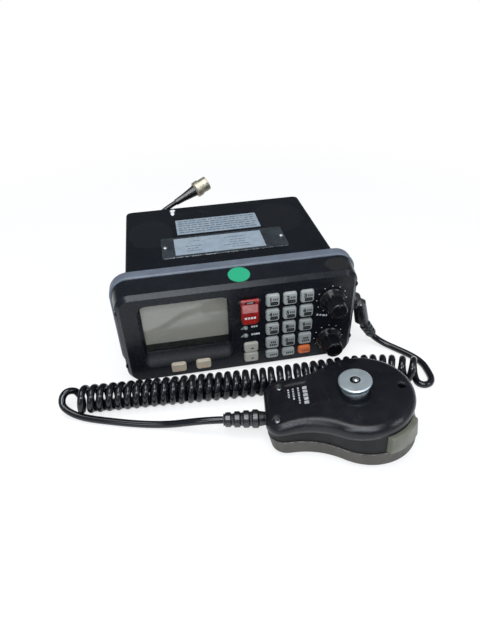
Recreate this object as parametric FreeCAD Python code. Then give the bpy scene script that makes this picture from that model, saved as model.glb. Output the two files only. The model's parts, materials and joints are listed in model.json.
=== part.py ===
# VHF marine radio with a fist microphone on a curly cord.
#
# Drawn with y = 0 on the flat front face, +X to the right, +Y to the rear and z = 0 on the
# surface that the radio, the cord and the microphone lie on. Each solid is moved as it is saved,
# so that the part's origin is the centre of the case's underside. Millimetres throughout.

import FreeCAD, Part
import math
import os

V = FreeCAD.Vector
X_AXIS = V(1, 0, 0)
Y_AXIS = V(0, 1, 0)
Z_AXIS = V(0, 0, 1)

# ---------------------------------------------------------------- driving dimensions
# Front panel: flat face, chamfered rim and drafted side walls
FACE_W = 200.0
FACE_H = 86.3
FACE_Z = 3.5                # lower edge of the flat face above the surface
FACE_R = 9.0                # corner radius of the flat face
RIM_D = 3.75                # depth of the chamfer behind the face
RIM_SIDE = 3.8              # how far the rim stands out at the sides
RIM_TOP = 3.6
RIM_BOTTOM = 2.2
PANEL_D = 23.0              # depth of the whole panel moulding
DRAFT_SIDE = 2.8            # how far the walls widen from the rim to the rear edge
DRAFT_TOP = 2.9
DRAFT_BOTTOM = 0.8
PANEL_T = 3.0               # thickness of the front plate
PANEL_WALL = 2.6

# Mounting flange ring
FLANGE_T = 10.0
FLANGE_W = 217.0
FLANGE_H = 98.0
FLANGE_R = 18.0
FLANGE_EDGE = 1.0           # chamfer on the flange's front edge
SPIGOT_L = 12.0             # tongue that enters the case
SPIGOT_T = 2.0
REBATE = 1.0                # how deep the case's front edge sits in the flange
REBATE_GAP = 0.3

# Case
CASE_W = 187.6
CASE_H = 91.2
CASE_L = 132.7
CASE_WALL = 2.2
CASE_EDGE_R = 2.5
CASE_REAR_R = 7.0           # rear corners seen from above

# Display
LCD_W = 73.5
LCD_H = 49.5
LCD_X = -47.25
LCD_Z = 56.25
RECESS_D = 4.0              # depth of the window below the front face
RECESS_SIDE = 2.5           # slope of the recess walls, sideways
RECESS_TOP = 2.0
RECESS_BOTTOM = 16.5        # the long lower slope
RECESS_R = 8.0
WINDOW_LIP = 2.0            # rebate that holds the window's edge
WINDOW_LIP_T = 0.8
WINDOW_T = 1.6
LCD_MODULE_T = 5.6
DISPLAY_WALL = 2.5          # thickness of the frame round the window

# Keys
KEY_W = 11.9
KEY_H = 12.1
KEY_PITCH_X = 15.15
KEY_PITCH_Z = 15.5
KEY_X = 27.75               # left column
KEY_Z = 28.0                # row above the short one
SHORT_KEY_W = 11.7
SHORT_KEY_H = 8.5
SHORT_ROW_DROP = 13.3       # short row below the lowest square row
ARROW_W = 13.0
ARROW_H = 10.3
ARROW_X = 8.3
ARROW_Z = 20.3              # the line between the up and the down key
ARROW_GAP = 1.3
SOFT_W = 13.6
SOFT_H = 9.2
SOFT_X = -58.0
SOFT_PITCH = 22.4
SOFT_Z = 13.8
KEY_R = 2.4
KEY_OUT = 2.5               # how far a key stands out of the face
KEY_TAPER = 0.9
KEY_GAP = 0.2               # between a key and its hole, each side
KEY_FLANGE = 0.5            # lip behind the plate, each side
KEY_FLANGE_T = 0.8
KEY_STEM = 0.4
KEY_TRAVEL = 1.0
SEAT_GAP = 0.1              # between parts that rest on each other across a joint

# Distress key under its flip cover
COVER_W = 15.0
COVER_X = 7.4
COVER_TOP_Z = 77.3          # hinge line
COVER_L = 22.6
COVER_T = 4.9
COVER_SKIN = 1.2
COVER_TIP_R = 4.0
HINGE_Y = -2.9
HINGE_R = 2.1
PIN_R = 0.8
PIN_RUN = 0.05              # running clearance of the pin in the cover
LUG_T = 1.5
LUG_GAP = 0.2
DISTRESS_W = 8.0
DISTRESS_H = 11.0
DISTRESS_Z = 64.5
DISTRESS_OUT = 1.2

# Status lamps
LED_X = 3.9
LED_Z = (48.0, 39.4)
LED_R = 2.1
LED_GAP = 0.05

# Knobs, shafts and controls
KNOB_X = 80.6
KNOB_Z = {"volume": 67.0, "squelch": 24.8}
KNOB_SKIRT_R = 11.8
KNOB_SKIRT_T = 2.4
KNOB_WAIST_R = 8.5
KNOB_WAIST_Y = 7.5
KNOB_TIP_R = 7.7
KNOB_LEN = 19.7
KNOB_CAP_R = 5.2            # shallow dish in the knob's end
KNOB_CAP_IN = 0.4
KNOB_FLUTES = 12
FLUTE_R = 1.1
KNOB_OFF = 0.8              # gap under the skirt
SHAFT_R = 3.0
SHAFT_RUN = 0.05
SHAFT_IN_KNOB = 13.0
BUSH_R = 3.9
BUSH_GAP = 0.1
POT_SIZE = 17.0
POT_D = 8.0

# Boards
BOARD_Y = 7.0               # front side of the front board
BOARD_T = 1.6
MAT_T = 1.0
PAD_T = 0.6
PAD_IN = 2.6                # a pad's edge inside its key's edge
PAD_R = 1.0
BOSS_R = 3.0
STAKE_R = 1.3
MAIN_BOARD_Z = 12.0
MAIN_BOARD_W = 164.0
MAIN_BOARD_L = 108.0
SHIELD = (90.0, 62.0, 16.0)

# Screws, one size throughout the case
SCREW_R = 1.5
SCREW_L = 8.0
SCREW_HEAD_R = 2.7
SCREW_HEAD_T = 2.0
SCREW_SLOT_R = 0.9
HEAD_GAP = 0.3
FLANGE_SCREW_X = 101.0
FLANGE_SCREW_Z = (20.0, 78.0)
FLANGE_SEAT = 4.0           # metal left under a screw head in the flange
SIDE_SCREW_Z = (24.0, 68.0)
SIDE_SCREW_BACK = 8.0       # behind the flange
SCREW_BOSS_R = 3.4

# Bracket holes in the case sides
BRACKET_R = 2.1
BRACKET_PITCH = 50.0
BRACKET_D = 8.0
BRACKET_BOSS_R = 5.0

# Nameplate and labels on the top
PLATE = (117.0, 38.5, 1.0)
PLATE_Y = 77.3
PLATE_X = -1.5
PLATE_SCREW_IN = 3.2
PAPER_T = 0.25
LOWER_LABEL = (84.0, 31.5)
UPPER_LABEL = (83.0, 32.0)
UPPER_LABEL_Y = 119.0
LOWER_LABEL_X = -6.0
UPPER_LABEL_X = -2.0
DOT_R = 9.4
DOT_X = 1.7
DOT_Y = 13.3

# Rear
HEATSINK = (120.0, 62.0, 4.0)
HEATSINK_IN = 67.8          # its centre from the case's right side
HEATSINK_Z = 45.0
FIN_T = 1.8
FIN_L = 9.0
FIN_COUNT = 12
INLET_IN = 31.8             # its axis from the case's left side
INLET_Z = 26.0
INLET_R = 9.0
INLET_CUP_R = 7.2
INLET_L = 10.0
INLET_PIN_R = 1.1
INLET_PIN_L = 3.0
ANT_IN = 27.8               # its axis from the case's left side and from its top
ANT_CABLE_R = 2.7
GLAND_R = 5.0
GLAND_NUT_R = 8.0
GLAND_L = 8.0

# Cord and its plug
CORD_R = 3.0
COIL_R = 12.25
LEAD_GAP = 0.3              # between the lead and the microphone, which lifts off
MIC_LEAD_STRAIGHT = 17.0
SOCKET_Y = 14.6
SOCKET_Z = 52.0
SOCKET_R = 5.5
SOCKET_NUT_R = 7.0
SOCKET_NUT_T = 0.8
SOCKET_BOSS_R = 8.0
SOCKET_BOSS_X = 106.6
BOOT_TOP_AT = (112.7, 14.6, 52.5)
BOOT_END_AT = (118.1, 13.8, 28.0)
BOOT_R = 6.5
BOOT_NECK_R = 5.9           # under the bevelled crown
BOOT_BEVEL = 4.0
PLUG_COLLAR_R = 8.3
RELIEF_END_AT = (129.0, 10.3, 11.8)
RELIEF_R = 4.3
RING_R = 5.4
RING_STEP = 0.2             # how much smaller each ring is than the one before
RING_COUNT = 3
RING_SHARE = 0.62           # of a ring's pitch that is raised

# Microphone: u runs from the cord end to the head, v across, w up, on its back plate
MIC_TURN = -8.9             # degrees about +Z
MIC_X = 4.5
MIC_Y = -75.9
MIC_L = 114.2
MIC_TAIL_HALF = 26.6
MIC_TAIL_R = 12.0
MIC_TAIL_SLOPE = 5.1        # degrees that the sides close in before the waist
MIC_SIDE_L = 5.35           # straight side before the waist
MIC_HEAD_R = 40.3
MIC_SEAM_W = 15.8           # top of the front shell
MIC_SPLIT_TAIL = 22.5       # lower edge of the back shell, at the tail and at the head
MIC_SPLIT_HEAD = 38.6
MIC_TOP_TAIL = 29.3
MIC_TOP_MID = 42.3
MIC_TOP_HEAD = 46.0
MIC_CROWN_DEPTH = 250.0     # depth of the lengthways axis that the crowned top is turned about
MIC_TOP_FILLET = 6.0
MIC_LEAN = 0.20             # how far the walls step out per mm below the back shell, lengthways
MIC_FOOT_H = 3.5            # height of the front shell's bevelled foot
MIC_FOOT_IN = 3.5           # how far the foot lies inside the seam, at its sole and at its top
MIC_DRAFT_IN = 0.5
MIC_WALL = 2.4
MIC_TRAY_WALL = 5.0         # side wall of the front shell, thick enough for its chamfer
MIC_BAND_IN = 0.9           # how far the band lies inside the back shell's edge
PTT_ANGLE = -49.0
PTT_W = 30.4
PTT_H = 15.6
PTT_LOW = 16.8              # underside of the button
PTT_OUT = 43.4              # curved outer face from the head's centre, at its upper edge
PTT_IN = 33.5
PTT_TRAVEL = 2.5
PTT_GAP = 0.3
PTT_EDGE = 1.6
PTT_SWITCH = (6.0, 13.0, 12.5)
MIC_LABEL_U = (16.5, 35.0)  # bare sunk field on the back shell
MIC_LABEL_V = (-12.5, 16.0)
MIC_LABEL_IN = 0.4
MIC_LABEL_R = 2.0
HANG_BACK = 4.9             # the button's centre behind the head's centre
HANG_V = 1.5
HANG_FLANGE_R = 10.7
HANG_DISC_R = 12.7
HANG_NECK_R = 5.5
HANG_FLANGE_T = 2.4
HANG_GAP = 4.4
HANG_DISC_T = 1.8
HANG_SEAT = 0.3
HANG_SCREW_R = 2.0
HANG_SCREW_HEAD_R = 4.0
MIC_RELIEF_L = 33.0
MIC_RELIEF_W = 14.3
MIC_RELIEF_BASE_R = 7.4
MIC_RELIEF_TIP_R = 5.4
MIC_RELIEF_RINGS = 4
MIC_NECK_L = 9.1            # its neck through the leaning tail
MIC_RELIEF_LIP = 1.2        # flange inside the shell
MIC_SCREW_R = 1.4
MIC_SCREW_HEAD_R = 2.6
MIC_SCREW_L = 9.0
MIC_TAIL_SCREWS = ((12.4, 15.3), (8.8, -17.0))
MIC_HEAD_SCREW = 10.5       # head screw's distance from the head's end
MIC_BOARD_W = 11.8          # underside of the microphone's board
MIC_BOARD_GAP = 1.5
MIC_BOARD_NOTCH = (16.0, 20.0)
CAPSULE_R = 18.0
CAPSULE_T = 6.0
GRILLE_SLOTS = 7
GRILLE_SLOT_W = 1.6
GRILLE_PITCH = 4.2
GRILLE_R = 15.0

# ---------------------------------------------------------------- sizes worked out from these
MIC_HEAD_U = MIC_L - MIC_HEAD_R
MIC_SCREW_UV = MIC_TAIL_SCREWS + ((MIC_L - MIC_HEAD_SCREW, 0.0),)
HANG_U = MIC_HEAD_U - HANG_BACK
FLANGE_BACK = PANEL_D + FLANGE_T
CASE_BACK = FLANGE_BACK + CASE_L
BOOT_TOP = V(*BOOT_TOP_AT)
BOOT_END = V(*BOOT_END_AT)
RELIEF_END = V(*RELIEF_END_AT)
INLET_X = INLET_IN - CASE_W / 2
ANT_X = ANT_IN - CASE_W / 2
ANT_Z = CASE_H - ANT_IN
ORIGIN = V(0, FLANGE_BACK + CASE_L / 2, 0)
FACE_TOP = FACE_Z + FACE_H
RIM_HALF = FACE_W / 2 + RIM_SIDE
RIM_LOW = FACE_Z - RIM_BOTTOM
RIM_HIGH = FACE_TOP + RIM_TOP
WALL_HALF = RIM_HALF + DRAFT_SIDE
WALL_LOW = RIM_LOW - DRAFT_BOTTOM
WALL_HIGH = RIM_HIGH + DRAFT_TOP
TOP_SLOPE = math.degrees(math.atan2(DRAFT_TOP, PANEL_D - RIM_D))
WINDOW_Y = RECESS_D + WINDOW_LIP_T
LCD_Y = WINDOW_Y + WINDOW_T
KEY_BACK = PANEL_T + SEAT_GAP + KEY_FLANGE_T + KEY_STEM
MAT_Y = BOARD_Y - MAT_T
BOARD_BACK = BOARD_Y + BOARD_T
BOSS_XZ = ((-94.0, 12.0), (94.0, 12.0), (94.0, 86.0), (-1.0, 86.5))


# ---------------------------------------------------------------- helpers
def save(name, shape):
    """Write one named piece, with the origin at the centre of the case's underside."""
    placed = shape.copy()
    placed.translate(ORIGIN * -1)
    if not placed.isValid():
        print("not valid:", name)
    placed.exportStep("parts/" + name + ".step")
    print("%-18s solids %d  volume %9.1f mm3" % (name, len(placed.Solids), placed.Volume))


def rect_wire(x0, x1, z0, z1, r, y):
    """Rounded rectangle in the plane y."""
    k = r * (1 - math.sqrt(0.5))
    points = [
        (V(x0 + r, y, z0), V(x1 - r, y, z0), V(x1 - k, y, z0 + k)),
        (V(x1, y, z0 + r), V(x1, y, z1 - r), V(x1 - k, y, z1 - k)),
        (V(x1 - r, y, z1), V(x0 + r, y, z1), V(x0 + k, y, z1 - k)),
        (V(x0, y, z1 - r), V(x0, y, z0 + r), V(x0 + k, y, z0 + k)),
    ]
    edges = []
    for i, (start, end, mid) in enumerate(points):
        following = points[(i + 1) % 4][0]
        edges.append(Part.LineSegment(start, end).toShape())
        edges.append(Part.Arc(end, mid, following).toShape())
    return Part.Wire(edges)


def loft(wires):
    """Straight-sided solid through outlines with the same count of edges."""
    return Part.makeLoft(wires, True, True)


def rounded_block(x0, x1, y0, y1, z0, z1, r):
    """Block along Y with rounded corners in the front view."""
    face = Part.Face(rect_wire(x0, x1, z0, z1, r, y0))
    return face.extrude(V(0, y1 - y0, 0))


def box(x0, x1, y0, y1, z0, z1):
    return Part.makeBox(x1 - x0, y1 - y0, z1 - z0, V(x0, y0, z0))


def rod(radius, start, end):
    """Cylinder between two points."""
    return Part.makeCylinder(radius, (end - start).Length, start, end - start)


def turned(profile, base, direction):
    """Solid of revolution: profile is (radius, distance along the axis) from the base."""
    points = [V(r, 0, h) for r, h in profile]
    wire = Part.makePolygon(points + [points[0]])
    solid = Part.Face(wire).revolve(V(0, 0, 0), Z_AXIS, 360)
    solid.Placement = FreeCAD.Placement(base, FreeCAD.Rotation(Z_AXIS, direction))
    return solid


def fuse(shapes):
    whole = shapes[0]
    for shape in shapes[1:]:
        whole = whole.fuse(shape)
    return whole.removeSplitter()


def cut(shape, tools):
    for tool in tools:
        shape = shape.cut(tool)
    return shape


def group(shapes):
    return Part.makeCompound(shapes)


def screw(head_seat, direction, radius=SCREW_R, head_r=SCREW_HEAD_R, length=SCREW_L):
    """Pan-head screw: head_seat is under the head, direction points along the shank."""
    profile = [(0, length), (0, -SCREW_HEAD_T), (head_r * 0.6, -SCREW_HEAD_T),
               (head_r, -SCREW_HEAD_T * 0.45), (head_r, 0), (radius, 0), (radius, length)]
    return turned(profile, head_seat, direction)


def tube_path(points):
    """Straight runs joined by tangent arcs, each as large as its two runs allow."""
    edges = []
    radii = []
    start = points[0]
    for before, corner, after in zip(points, points[1:], points[2:]):
        run_in = (corner - before).Length
        run_out = (after - corner).Length
        to_start = (before - corner).normalize()
        to_end = (after - corner).normalize()
        half_turn = (math.pi - to_start.getAngle(to_end)) / 2
        reach = 0.45 * min(run_in, run_out)
        radius = reach / math.tan(half_turn)
        radii.append(radius)
        tangent_in = corner + to_start * reach
        tangent_out = corner + to_end * reach
        bisector = (to_start + to_end).normalize()
        centre = corner + bisector * (radius / math.cos(half_turn))
        middle = centre - bisector * radius
        edges.append(Part.LineSegment(start, tangent_in).toShape())
        edges.append(Part.Arc(tangent_in, middle, tangent_out).toShape())
        start = tangent_out
    edges.append(Part.LineSegment(start, points[-1]).toShape())
    return Part.Wire(edges), radii


def tube(name, points, radius):
    """Round cord along a route, with its radii and its volume compared."""
    path, radii = tube_path(points)
    direction = points[1] - points[0]
    section = Part.Wire([Part.makeCircle(radius, points[0], direction)])
    solid = path.makePipeShell([section], True, False)
    expected = math.pi * radius ** 2 * path.Length
    print("%s: length %.1f, volume/expected %.4f, radii %s"
          % (name, path.Length, solid.Volume / expected, [round(r, 1) for r in radii]))
    return solid


# ---------------------------------------------------------------- front panel
def key_layout():
    """Name, centre and size of every key on the front."""
    keys = {}
    digits = (("key_7", "key_8", "key_9"), ("key_4", "key_5", "key_6"), ("key_1", "key_2", "key_3"))
    rows = (("key_star", "key_0", "key_hash"),) + digits
    for row, names in enumerate(rows):
        for column, name in enumerate(names):
            centre = (KEY_X + column * KEY_PITCH_X, KEY_Z + row * KEY_PITCH_Z)
            keys[name] = (centre, (KEY_W, KEY_H))
    for column, name in enumerate(("key_menu", "key_clear", "key_enter")):
        centre = (KEY_X + column * KEY_PITCH_X, KEY_Z - SHORT_ROW_DROP)
        keys[name] = (centre, (SHORT_KEY_W, SHORT_KEY_H))
    arrow_rise = (ARROW_H + ARROW_GAP) / 2
    keys["key_up"] = ((ARROW_X, ARROW_Z + arrow_rise), (ARROW_W, ARROW_H))
    keys["key_down"] = ((ARROW_X, ARROW_Z - arrow_rise), (ARROW_W, ARROW_H))
    keys["key_soft_left"] = ((SOFT_X, SOFT_Z), (SOFT_W, SOFT_H))
    keys["key_soft_right"] = ((SOFT_X + SOFT_PITCH, SOFT_Z), (SOFT_W, SOFT_H))
    return keys


def centred_wire(centre, size, r, y, grow=0.0):
    half_w = size[0] / 2 + grow
    half_h = size[1] / 2 + grow
    return rect_wire(centre[0] - half_w, centre[0] + half_w,
                     centre[1] - half_h, centre[1] + half_h, r + grow, y)


def centred_block(centre, size, r, y0, y1, grow=0.0):
    face = Part.Face(centred_wire(centre, size, r, y0, grow))
    return face.extrude(V(0, y1 - y0, 0))


def panel_outside():
    face = rect_wire(-FACE_W / 2, FACE_W / 2, FACE_Z, FACE_TOP, FACE_R, 0)
    rim = rect_wire(-RIM_HALF, RIM_HALF, RIM_LOW, RIM_HIGH, FACE_R + RIM_SIDE, RIM_D)
    rear = rect_wire(-WALL_HALF, WALL_HALF, WALL_LOW, WALL_HIGH,
                     FACE_R + RIM_SIDE + DRAFT_SIDE, PANEL_D)
    return loft([face, rim]).fuse(loft([rim, rear]))


def panel_cavity():
    t = PANEL_WALL
    r = FACE_R + RIM_SIDE - t
    front = rect_wire(t - RIM_HALF, RIM_HALF - t, RIM_LOW + t, RIM_HIGH - t, r, PANEL_T)
    rear = rect_wire(t - WALL_HALF, WALL_HALF - t, WALL_LOW + t, WALL_HIGH - t,
                     r + DRAFT_SIDE, PANEL_D)
    return loft([front, rear])


def display_recess():
    """Sloped pocket down to the window, with the long slope at the bottom."""
    x0 = LCD_X - LCD_W / 2
    x1 = LCD_X + LCD_W / 2
    z0 = LCD_Z - LCD_H / 2
    z1 = LCD_Z + LCD_H / 2
    mouth = rect_wire(x0 - RECESS_SIDE, x1 + RECESS_SIDE, z0 - RECESS_BOTTOM, z1 + RECESS_TOP,
                      RECESS_R, 0)
    floor = rect_wire(x0, x1, z0, z1, RECESS_R / 4, RECESS_D)
    return loft([mouth, floor])


def front_panel():
    body = panel_outside().cut(panel_cavity())
    window_size = (LCD_W + 2 * WINDOW_LIP, LCD_H + 2 * WINDOW_LIP)
    frame = centred_block((LCD_X, LCD_Z), window_size, RECESS_R / 4,
                          PANEL_T - 0.5, LCD_Y + SEAT_GAP, DISPLAY_WALL)
    slope_low = SOFT_Z + SOFT_H / 2 + KEY_FLANGE + 2 * KEY_GAP
    slope_high = LCD_Z - LCD_H / 2 - WINDOW_LIP
    half_w = window_size[0] / 2 + DISPLAY_WALL
    backing = box(LCD_X - half_w, LCD_X + half_w, PANEL_T - 0.5, MAT_Y - PAD_T - KEY_GAP,
                  slope_low, slope_high)
    solids = [body, frame, backing]
    for x, z in BOSS_XZ:
        solids.append(rod(BOSS_R, V(x, PANEL_T - 0.5, z), V(x, BOARD_Y, z)))
        solids.append(rod(STAKE_R, V(x, BOARD_Y - 0.5, z), V(x, BOARD_BACK + STAKE_R / 2, z)))
    for side in (-1, 1):
        for z in FLANGE_SCREW_Z:
            x = side * FLANGE_SCREW_X
            solids.append(rod(SCREW_BOSS_R, V(x, PANEL_T - 0.5, z), V(x, PANEL_D, z)))
    boss_start = V(RIM_HALF - PANEL_WALL, SOCKET_Y, SOCKET_Z)
    solids.append(rod(SOCKET_BOSS_R, boss_start, V(SOCKET_BOSS_X, SOCKET_Y, SOCKET_Z))
                  .common(panel_outside().fuse(box(RIM_HALF, SOCKET_BOSS_X, 0, PANEL_D,
                                                   0, FACE_TOP))))
    for side in (-1, 1):
        solids.append(cover_lug(side))
    body = fuse(solids)
    holes = [display_recess(),
             centred_block((LCD_X, LCD_Z), (LCD_W, LCD_H), RECESS_R / 4, RECESS_D - 0.1, LCD_Y),
             centred_block((LCD_X, LCD_Z), window_size, RECESS_R / 4, WINDOW_Y, BOARD_Y)]
    for centre, size in key_layout().values():
        holes.append(centred_block(centre, size, KEY_R, -1, PANEL_T + 1, KEY_GAP))
    holes.append(centred_block((COVER_X, DISTRESS_Z), (DISTRESS_W, DISTRESS_H), KEY_R,
                               -1, PANEL_T + 1, KEY_GAP))
    for z in LED_Z:
        holes.append(rod(LED_R + LED_GAP, V(LED_X, -1, z), V(LED_X, PANEL_T + 1, z)))
    for z in KNOB_Z.values():
        holes.append(rod(BUSH_R + BUSH_GAP, V(KNOB_X, -1, z), V(KNOB_X, PANEL_T + 1, z)))
    screw_tip = FLANGE_BACK - FLANGE_T + FLANGE_SEAT - SCREW_L
    for side in (-1, 1):
        for z in FLANGE_SCREW_Z:
            x = side * FLANGE_SCREW_X
            holes.append(rod(SCREW_R, V(x, screw_tip, z), V(x, PANEL_D + 1, z)))
    holes.append(rod(SOCKET_R, V(RIM_HALF - 8, SOCKET_Y, SOCKET_Z),
                     V(SOCKET_BOSS_X + 1, SOCKET_Y, SOCKET_Z)))
    holes.append(rod(PIN_R, V(COVER_X - COVER_W, HINGE_Y, COVER_TOP_Z),
                     V(COVER_X + COVER_W, HINGE_Y, COVER_TOP_Z)))
    return cut(body, holes)


def cover_lug(side):
    """Ear on the front face that carries one end of the cover's hinge pin."""
    inner = COVER_X + side * (COVER_W / 2 + LUG_GAP)
    outer = inner + side * LUG_T
    x0 = min(inner, outer)
    x1 = max(inner, outer)
    barrel = rod(HINGE_R, V(x0, HINGE_Y, COVER_TOP_Z), V(x1, HINGE_Y, COVER_TOP_Z))
    foot = box(x0, x1, HINGE_Y, 0.5, COVER_TOP_Z - HINGE_R, COVER_TOP_Z + HINGE_R)
    return barrel.fuse(foot)


def key(centre, size):
    """Keycap with a tapered, chamfered face, a retaining lip and a short stem."""
    side = centred_wire(centre, size, KEY_R, 0)
    shoulder = centred_wire(centre, size, KEY_R, -KEY_OUT * 0.8, -KEY_TAPER / 3)
    crown = centred_wire(centre, size, KEY_R, -KEY_OUT, -KEY_TAPER)
    neck = centred_block(centre, size, KEY_R, 0, PANEL_T + SEAT_GAP)
    lip = centred_block(centre, size, KEY_R, PANEL_T + SEAT_GAP,
                        PANEL_T + SEAT_GAP + KEY_FLANGE_T, KEY_FLANGE)
    stem = centred_block(centre, size, KEY_R, PANEL_T + SEAT_GAP + KEY_FLANGE_T,
                         KEY_BACK, -KEY_TAPER)
    return fuse([loft([side, shoulder]), loft([shoulder, crown]), neck, lip, stem])


def distress_key():
    centre = (COVER_X, DISTRESS_Z)
    size = (DISTRESS_W, DISTRESS_H)
    face = centred_wire(centre, size, KEY_R, 0)
    crown = centred_wire(centre, size, KEY_R, -DISTRESS_OUT, -DISTRESS_OUT / 2)
    neck = centred_block(centre, size, KEY_R, 0, PANEL_T + SEAT_GAP)
    lip = centred_block(centre, size, KEY_R, PANEL_T + SEAT_GAP, KEY_BACK, KEY_FLANGE)
    return fuse([loft([face, crown]), neck, lip])


def distress_cover():
    """Hollow flip cover with a rounded tip and a barrel on the hinge pin."""
    x0 = COVER_X - COVER_W / 2
    x1 = COVER_X + COVER_W / 2
    z0 = COVER_TOP_Z - COVER_L
    y0 = HINGE_Y - HINGE_R
    y1 = y0 + COVER_T - 0.3
    plan = rounded_block(x0, x1, y0, y1, z0, COVER_TOP_Z, COVER_TIP_R)
    head = box(x0, x1, y0, y1, COVER_TOP_Z - 2 * COVER_TIP_R, COVER_TOP_Z)
    barrel = rod(HINGE_R, V(x0, HINGE_Y, COVER_TOP_Z), V(x1, HINGE_Y, COVER_TOP_Z))
    trim = box(x0, x1, HINGE_Y, y1, COVER_TOP_Z - HINGE_R, COVER_TOP_Z)
    cavity = rounded_block(x0 + COVER_SKIN, x1 - COVER_SKIN, y0 + COVER_SKIN, y1 + 1,
                           z0 + COVER_SKIN, COVER_TOP_Z - HINGE_R - COVER_SKIN,
                           COVER_TIP_R - COVER_SKIN)
    bore = rod(PIN_R + PIN_RUN, V(x0 - 1, HINGE_Y, COVER_TOP_Z), V(x1 + 1, HINGE_Y, COVER_TOP_Z))
    body = fuse([cut(fuse([plan, head]), [trim]), barrel])
    return cut(body, [cavity, bore])


def cover_pin():
    half = COVER_W / 2 + LUG_GAP + LUG_T
    return rod(PIN_R, V(COVER_X - half, HINGE_Y, COVER_TOP_Z), V(COVER_X + half, HINGE_Y, COVER_TOP_Z))


def display_window():
    size = (LCD_W + 2 * WINDOW_LIP, LCD_H + 2 * WINDOW_LIP)
    return centred_block((LCD_X, LCD_Z), size, RECESS_R / 4, WINDOW_Y, LCD_Y, -SEAT_GAP)


def lcd_module():
    """Glass and its metal frame, pressed against the window from behind."""
    size = (LCD_W + 2 * WINDOW_LIP, LCD_H + 2 * WINDOW_LIP)
    glass = centred_block((LCD_X, LCD_Z), size, RECESS_R / 4, LCD_Y, BOARD_Y, -SEAT_GAP)
    back = centred_block((LCD_X, LCD_Z), size, RECESS_R / 4, BOARD_Y, LCD_Y + LCD_MODULE_T,
                         DISPLAY_WALL)
    return fuse([glass, back])


def status_leds():
    lamps = []
    for z in LED_Z:
        lens = rod(LED_R, V(LED_X, -0.3, z), V(LED_X, BOARD_Y, z))
        dome = Part.makeSphere(LED_R, V(LED_X, -0.3, z)).common(
            box(LED_X - LED_R, LED_X + LED_R, -0.3 - LED_R, 0, z - LED_R, z + LED_R))
        lamps.append(fuse([lens, dome]))
    return group(lamps)


# ---------------------------------------------------------------- boards behind the panel
def board_outline(y0, y1, x_left, z_low, margin):
    """L-shaped sheet: full width below the display, full height behind the keys."""
    right = BOSS_XZ[1][0] + 2.5 - margin
    left = x_left
    top = BOSS_XZ[3][1] + 3.5 - margin
    step_x = LCD_X + LCD_W / 2 + WINDOW_LIP + DISPLAY_WALL + 1.5
    step_z = LCD_Z - LCD_H / 2 - WINDOW_LIP - DISPLAY_WALL - 1.5
    outline = [V(left, y0, z_low), V(right, y0, z_low), V(right, y0, top), V(step_x, y0, top),
               V(step_x, y0, step_z), V(left, y0, step_z)]
    return Part.Face(Part.makePolygon(outline + [outline[0]])).extrude(V(0, y1 - y0, 0))


def front_board():
    board = board_outline(BOARD_Y, BOARD_BACK, BOSS_XZ[0][0] - 2.5, RIM_LOW + PANEL_WALL + 1.5, 0)
    holes = []
    for x, z in BOSS_XZ:
        holes.append(rod(STAKE_R, V(x, 0, z), V(x, PANEL_D, z)))
    for z in KNOB_Z.values():
        holes.append(rod(BUSH_R + BUSH_GAP, V(KNOB_X, 0, z), V(KNOB_X, PANEL_D, z)))
    return cut(board, holes)


def keypad_mat():
    """Silicone sheet on the board, with a raised pad behind each key."""
    left = SOFT_X - SOFT_W
    right_trim = box(KNOB_X - KNOB_SKIRT_R, FACE_W, 0, PANEL_D, 0, FLANGE_H)
    low = KEY_Z - SHORT_ROW_DROP - SHORT_KEY_H
    sheet = board_outline(MAT_Y, BOARD_Y, left, low, KEY_FLANGE).cut(right_trim)
    solids = [sheet]
    pressed = list(key_layout().values()) + [((COVER_X, DISTRESS_Z), (DISTRESS_W, DISTRESS_H))]
    for centre, size in pressed:
        pad = (size[0] - 2 * PAD_IN, size[1] - 2 * PAD_IN)
        solids.append(centred_block(centre, pad, PAD_R, MAT_Y - PAD_T, MAT_Y + MAT_T / 2))
    holes = [rod(LED_R + BUSH_GAP, V(LED_X, 0, z), V(LED_X, PANEL_D, z)) for z in LED_Z]
    holes += [rod(BOSS_R + BUSH_GAP, V(x, 0, z), V(x, PANEL_D, z)) for x, z in BOSS_XZ]
    return cut(fuse(solids), holes)


def control_pots():
    """Two rotary controls, each with its threaded bush through the board and the plate."""
    pots = []
    for z in KNOB_Z.values():
        half = POT_SIZE / 2
        body = box(KNOB_X - half, KNOB_X + half, BOARD_BACK, BOARD_BACK + POT_D, z - half, z + half)
        bush = rod(BUSH_R, V(KNOB_X, -KNOB_OFF / 4, z), V(KNOB_X, BOARD_BACK + 1, z))
        bore = rod(SHAFT_R + SHAFT_RUN, V(KNOB_X, -1, z), V(KNOB_X, BOARD_BACK + POT_D / 2, z))
        pots.append(cut(fuse([body, bush]), [bore]))
    return group(pots)


def shaft(z):
    return rod(SHAFT_R, V(KNOB_X, -KNOB_OFF - SHAFT_IN_KNOB, z),
               V(KNOB_X, BOARD_BACK + POT_D / 2 - SEAT_GAP, z))


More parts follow.
